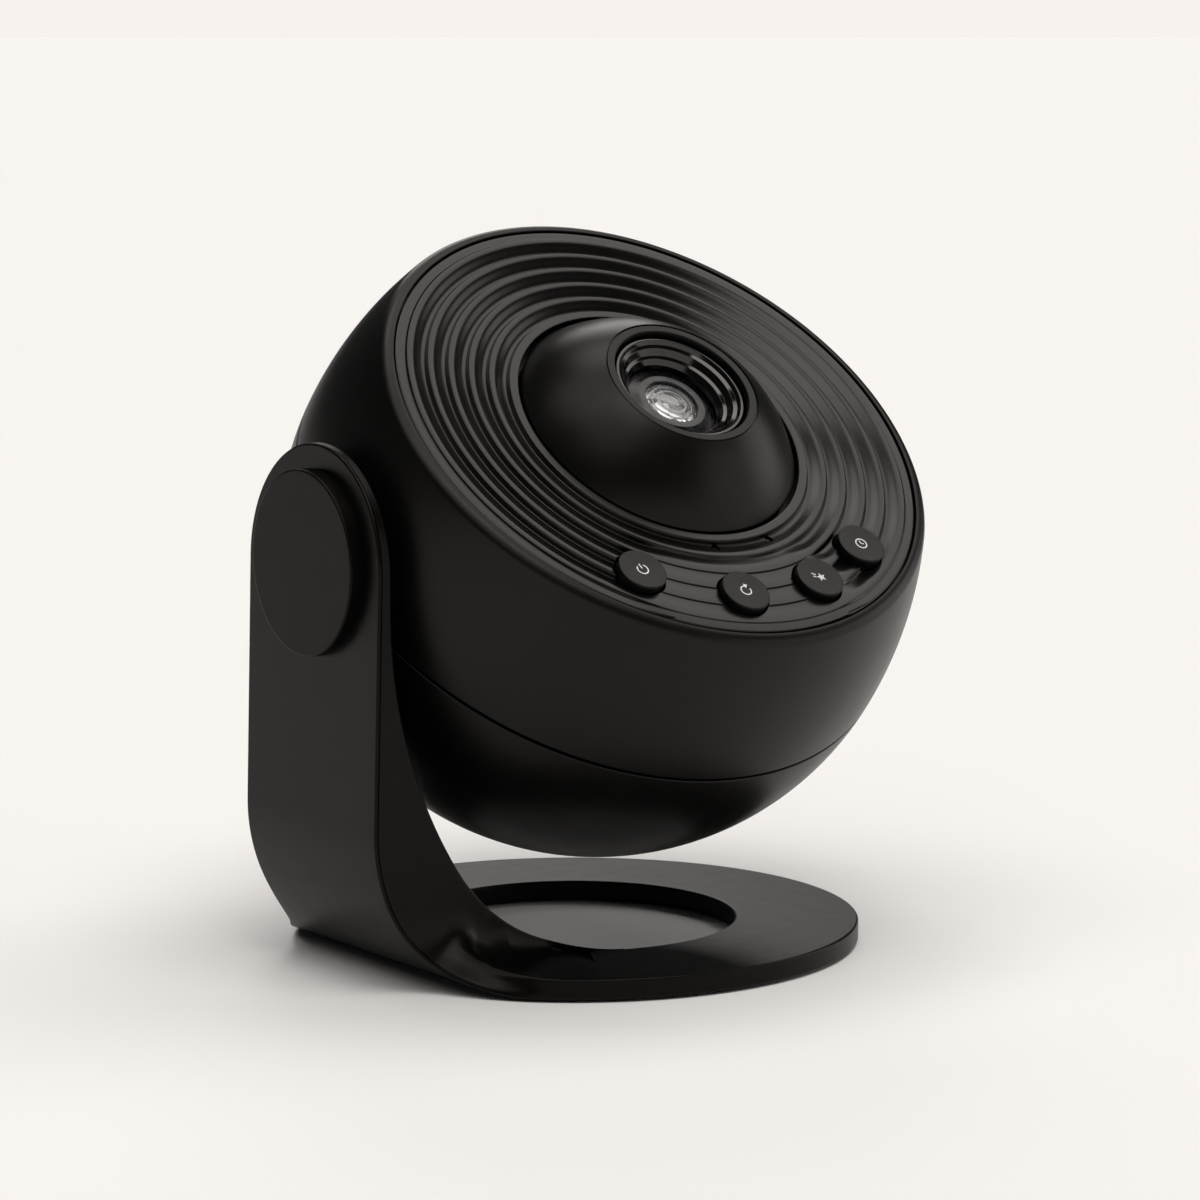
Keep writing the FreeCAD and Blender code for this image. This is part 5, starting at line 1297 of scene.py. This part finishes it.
def close_tree(tree, source, material):
    """End a tree with real geometry in one material."""
    make, join = tree.nodes.new, tree.links.new
    real = make("GeometryNodeRealizeInstances")
    join(source, real.inputs["Geometry"])
    paint = make("GeometryNodeSetMaterial")
    paint.inputs["Material"].default_value = material
    join(real.outputs["Geometry"], paint.inputs["Geometry"])
    join(paint.outputs["Geometry"], make("NodeGroupOutput").inputs["Geometry"])
    return tree


def rib_ring_tree(count, radius, material):
    """Geometry nodes: one rib, repeated round the Z axis."""
    inputs = {"Count": ("NodeSocketInt", count), "Radius": ("NodeSocketFloat", radius)}
    tree, start = open_tree("rib_ring", inputs)
    make, join = tree.nodes.new, tree.links.new
    circle = make("GeometryNodeMeshCircle")
    join(start.outputs["Count"], circle.inputs["Vertices"])
    join(start.outputs["Radius"], circle.inputs["Radius"])
    place = make("GeometryNodeInputPosition")
    align = make("FunctionNodeAlignRotationToVector")
    align.axis = "X"
    align.pivot_axis = "Z"
    join(place.outputs["Position"], align.inputs["Vector"])
    spread = make("GeometryNodeInstanceOnPoints")
    join(circle.outputs["Mesh"], spread.inputs["Points"])
    join(start.outputs["Geometry"], spread.inputs["Instance"])
    join(align.outputs["Rotation"], spread.inputs["Rotation"])
    return close_tree(tree, spread.outputs["Instances"], material)


def screw_circle_tree(angles, radius, material):
    """Geometry nodes: one screw, moved out to a circle and turned to each angle."""
    inputs = {"Radius": ("NodeSocketFloat", radius)}
    inputs.update({f"Angle {number}": ("NodeSocketFloat", math.radians(turn))
                   for number, turn in enumerate(angles, start=1)})
    tree, start = open_tree("screw_circle", inputs)
    make, join = tree.nodes.new, tree.links.new
    way = make("ShaderNodeCombineXYZ")
    join(start.outputs["Radius"], way.inputs["X"])
    shift = make("GeometryNodeTransform")
    join(start.outputs["Geometry"], shift.inputs["Geometry"])
    join(way.outputs["Vector"], shift.inputs["Translation"])
    gather = make("GeometryNodeJoinGeometry")
    for number in range(1, len(angles) + 1):
        spin = make("ShaderNodeCombineXYZ")
        join(start.outputs[f"Angle {number}"], spin.inputs["Z"])
        turn = make("GeometryNodeTransform")
        join(shift.outputs["Geometry"], turn.inputs["Geometry"])
        join(spin.outputs["Vector"], turn.inputs["Rotation"])
        join(turn.outputs["Geometry"], gather.inputs["Geometry"])
    return close_tree(tree, gather.outputs["Geometry"], material)


def spread_with_nodes(seed_piece, tree, values):
    """Run a tree on a piece, keep the result as a plain mesh and drop the modifier."""
    change = seed_piece.modifiers.new("spread", "NODES")
    change.node_group = tree
    for socket in tree.interface.items_tree:
        if socket.in_out == "INPUT" and socket.name in values:
            change[socket.identifier] = values[socket.name]
    apply_modifiers(seed_piece)


class PROJECTOR_OT_vent(bpy.types.Operator):
    """Build the vent grille at the back: hub, ring and ribs"""
    bl_idname = "projector.vent"
    bl_label = "Vent grille"

    def execute(self, context):
        ball = context.scene.projector_ball
        centre = (0, ball.seam)
        outer, inner = ball.equator, ball.equator - 2.2 * MM
        build = bmesh.new()
        for near, far in ((0.0, 6.2 * MM), (12.8 * MM, 15.0 * MM)):
            angles = [math.degrees(math.asin(reach / outer)) - 90 for reach in (near, far)]
            inside = [math.degrees(math.asin(reach / inner)) - 90 for reach in (far, near)]
            outline = arc(centre, outer, *angles, 8) + arc(centre, inner, *inside, 8)
            add_lathe(build, [(abs(radius), height) for radius, height in outline], 96)
        frame_piece = finish_mesh("vent_frame", build, HEAD, look("shell"))
        put(frame_piece, "head", "vent_grille")
        rib = bmesh.new()
        self.add_rib(rib, outer, inner, ball.seam)
        seed = finish_mesh("vent_ribs", rib, Matrix.Identity(4), look("shell"))
        tree = rib_ring_tree(VENT_RIBS, RIB_CIRCLE, look("shell"))
        spread_with_nodes(seed, tree, {"Count": VENT_RIBS, "Radius": RIB_CIRCLE})
        put_on_head(seed, turn=Matrix.Rotation(math.pi / VENT_RIBS, 4, "Z"))
        return {"FINISHED"}

    def add_rib(self, build, outer, inner, seam):
        """Bar along X that follows the ball, widening outwards, centred on its middle radius."""
        rows = []
        for step in range(7):
            reach = (6.0 + 7.0 * step / 6) * MM
            half = reach * math.sin(math.pi / VENT_RIBS) - 0.95 * MM
            low, high = seam - math.sqrt(outer ** 2 - reach ** 2), seam - math.sqrt(inner ** 2 - reach ** 2)
            x = reach - RIB_CIRCLE
            soft = 0.25 * MM
            section = soften([(-half, low, soft), (half, low, soft), (half, high, 0), (-half, high, 0)], 3)
            rows.append([build.verts.new((x, y, z)) for y, z in section])
        skin(build, rows, capped=True)


class PROJECTOR_OT_case_screws(bpy.types.Operator):
    """Build the four cross-head case screws"""
    bl_idname = "projector.case_screws"
    bl_label = "Case screws"

    def execute(self, context):
        seat, radius, head = WELL_FLOOR, 2.8 * MM, 2.0 * MM
        outline = soften([(0, seat + 30 * MM, 0), (1.4 * MM, seat + 30 * MM, 0), (1.4 * MM, seat, 0),
                          (radius, seat, 0), (radius, seat - head, 0.9 * MM), (0, seat - head, 0)])
        steel = kept("black_steel", metal, (0.05, 0.05, 0.052), 0.4)
        build = bmesh.new()
        add_lathe(build, outline, 40, closed=False)
        piece = finish_mesh("case_screw_heads", build, Matrix.Identity(4), steel)
        corners = rectangle(3.4 * MM, 0.64 * MM, 0.1 * MM, 2)
        tip = seat - 0.9 * MM
        for turn in (25, 115):
            cutter = bmesh.new()
            spin = Matrix.Rotation(math.radians(turn), 4, "Z")
            low = [cutter.verts.new(spin @ Vector((x, y, -30 * MM))) for x, y in corners]
            high = [cutter.verts.new(spin @ Vector((x * 0.7, y * 0.8, tip))) for x, y in corners]
            skin(cutter, [low, high], capped=True)
            subtract(piece, tool_from(cutter))
        tree = screw_circle_tree(SCREW_ANGLES, SCREW_CIRCLE, steel)
        spread_with_nodes(piece, tree, {"Radius": SCREW_CIRCLE})
        put_on_head(piece, "case_screws")
        return {"FINISHED"}


# Operator: inner nodes ----------------------------------------------------------------------

class PROJECTOR_OT_inner_finishes(bpy.types.Operator):
    """Give every carried-over node its own finish"""
    bl_idname = "projector.inner_finishes"
    bl_label = "Inner finishes"

    def execute(self, context):
        steel = steel_finish()
        natural = kept("natural_plastic", moulded, (0.55, 0.52, 0.45), 0.45)
        dark = dark_finish()
        resin = kept("green_board", board, (0.012, 0.075, 0.030))
        choices = {
            "base_pad": kept("foot_rubber", rubber, (0.012, 0.012, 0.012)),
            "pivot_shaft": steel, "wave_washer": steel, "pivot_nut": steel, "board_screws": steel,
            "thrust_washer": dark, "friction_bush": dark, "lens_guide": dark, "lens_barrel": dark,
            "lamp_frame": dark, "tact_switches": dark, "control_board": resin, "main_board": resin,
            "led_board": kept("white_board", board, (0.60, 0.60, 0.57)),
            "heat_sink": kept("fin_aluminium", metal, (0.60, 0.60, 0.61), 0.38),
            "disc_motor": kept("motor_can", metal, (0.50, 0.50, 0.51), 0.28),
            "condenser_lens": glass_finish(), "rear_lens": glass_finish(),
            "disc_gear": natural, "motor_pinion": natural,
            "star_disc": kept("disc_film", gloss, (0.01, 0.01, 0.03), 0.15),
        }
        for name, material in choices.items():
            node = frame["nodes"][name]
            node.data.materials.clear()
            node.data.materials.append(material)
        return {"FINISHED"}


# Operator: the stage ------------------------------------------------------------------------

class PROJECTOR_OT_stage(bpy.types.Operator):
    """Set the pale floor, the soft studio lights and the camera"""
    bl_idname = "projector.stage"
    bl_label = "Stage"

    def execute(self, context):
        self.make_floor()
        self.make_world(context)
        self.make_lights(context)
        self.make_camera(context)
        return {"FINISHED"}

    def make_floor(self):
        build = bmesh.new()
        bmesh.ops.create_grid(build, x_segments=1, y_segments=1, size=60.0)
        finish_mesh("floor", build, Matrix.Identity(4), look("floor"))

    def make_world(self, context):
        """Dim studio over a bright horizon."""
        world = bpy.data.worlds.new("studio")
        world.use_nodes = True
        context.scene.world = world
        tree = world.node_tree
        place = tree.nodes.new("ShaderNodeTexCoord")
        split = tree.nodes.new("ShaderNodeSeparateXYZ")
        tree.links.new(place.outputs["Generated"], split.inputs["Vector"])
        ramp = tree.nodes.new("ShaderNodeValToRGB")
        ramp.color_ramp.interpolation = "EASE"
        low, high = ramp.color_ramp.elements
        low.position, low.color = 0.01, (0.93, 0.888, 0.855, 1.0)
        high.position, high.color = 0.05, (0.03, 0.03, 0.03, 1.0)
        tree.links.new(split.outputs["Z"], ramp.inputs["Fac"])
        tree.links.new(ramp.outputs["Color"], tree.nodes["Background"].inputs["Color"])
        context.scene.view_settings.view_transform = "Standard"

    def make_lights(self, context):
        """Large soft lights far away: heading, rise and width in degrees, and power."""
        lights = (
            ("front_top_light", 270, 68, 34, 0.95),
            ("front_left_light", 225, 50, 40, 0.45),
            ("left_top_light", 175, 66, 34, 0.51),
            ("right_top_light", 6, 57, 38, 0.63),
            ("back_top_light", 75, 70, 26, 0.46),
            ("low_right_light", 345, 14, 34, 0.50),
            ("back_light", 60, 29, 26, 0.44),
            ("low_front_light", 306, 12, 34, 0.30),
        )
        for name, heading, rise, spread, power in lights:
            lamp = bpy.data.lights.new(name, "SUN")
            lamp.angle = math.radians(spread)
            lamp.energy = power
            lamp.color = (1.0, 0.962, 0.925)
            light = bpy.data.objects.new(name, lamp)
            light.rotation_euler = (0.0, math.radians(90 - rise), math.radians(heading))
            context.scene.collection.objects.link(light)

    def make_camera(self, context):
        eye = Vector((-512.9, -722.0, 199.5)) * MM
        target = Vector((3.9, 0.0, 74.4)) * MM
        lens = bpy.data.cameras.new("photo_camera")
        lens.lens = 122.75
        lens.sensor_width = 36.0
        lens.clip_start, lens.clip_end = 0.01, 60.0
        camera = bpy.data.objects.new("photo_camera", lens)
        camera.location = eye
        camera.rotation_euler = (target - eye).to_track_quat("-Z", "Y").to_euler()
        context.scene.collection.objects.link(camera)
        context.scene.camera = camera


# Panel and registration ---------------------------------------------------------------------

STEPS = (
    PROJECTOR_OT_stage, PROJECTOR_OT_front_shell, PROJECTOR_OT_rear_shell, PROJECTOR_OT_inlet,
    PROJECTOR_OT_face_panel, PROJECTOR_OT_windows, PROJECTOR_OT_buttons, PROJECTOR_OT_focus_dome,
    PROJECTOR_OT_lens, PROJECTOR_OT_bracket, PROJECTOR_OT_pivot_cap, PROJECTOR_OT_vent,
    PROJECTOR_OT_case_screws, PROJECTOR_OT_inner_finishes,
)
GROUPS = {
    "projector_ball": BallSizes, "projector_panel": PanelSizes, "projector_buttons": ButtonSizes,
    "projector_lens": LensSizes, "projector_stand": StandSizes, "projector_finish": Finishes,
}


class PROJECTOR_PT_sidebar(bpy.types.Panel):
    """Lists the sizes, the finishes and the steps"""
    bl_idname = "PROJECTOR_PT_sidebar"
    bl_label = "Planetarium projector"
    bl_space_type = "VIEW_3D"
    bl_region_type = "UI"
    bl_category = "Projector"

    def draw(self, context):
        for name, group in GROUPS.items():
            box = self.layout.box()
            box.label(text=group.__doc__)
            for key in group.__annotations__:
                box.prop(getattr(context.scene, name), key)
        for step in STEPS:
            self.layout.operator(step.bl_idname)


def register():
    for group in GROUPS.values():
        bpy.utils.register_class(group)
    for name, group in GROUPS.items():
        setattr(bpy.types.Scene, name, PointerProperty(type=group))
    for step in STEPS:
        bpy.utils.register_class(step)
    bpy.utils.register_class(PROJECTOR_PT_sidebar)


def unregister():
    bpy.utils.unregister_class(PROJECTOR_PT_sidebar)
    for step in reversed(STEPS):
        bpy.utils.unregister_class(step)
    for name in GROUPS:
        delattr(bpy.types.Scene, name)
    for group in reversed(list(GROUPS.values())):
        bpy.utils.unregister_class(group)


def main():
    register()
    for step in STEPS:
        group, name = step.bl_idname.split(".")
        getattr(getattr(bpy.ops, group), name)()


if __name__ == "__main__":
    main()
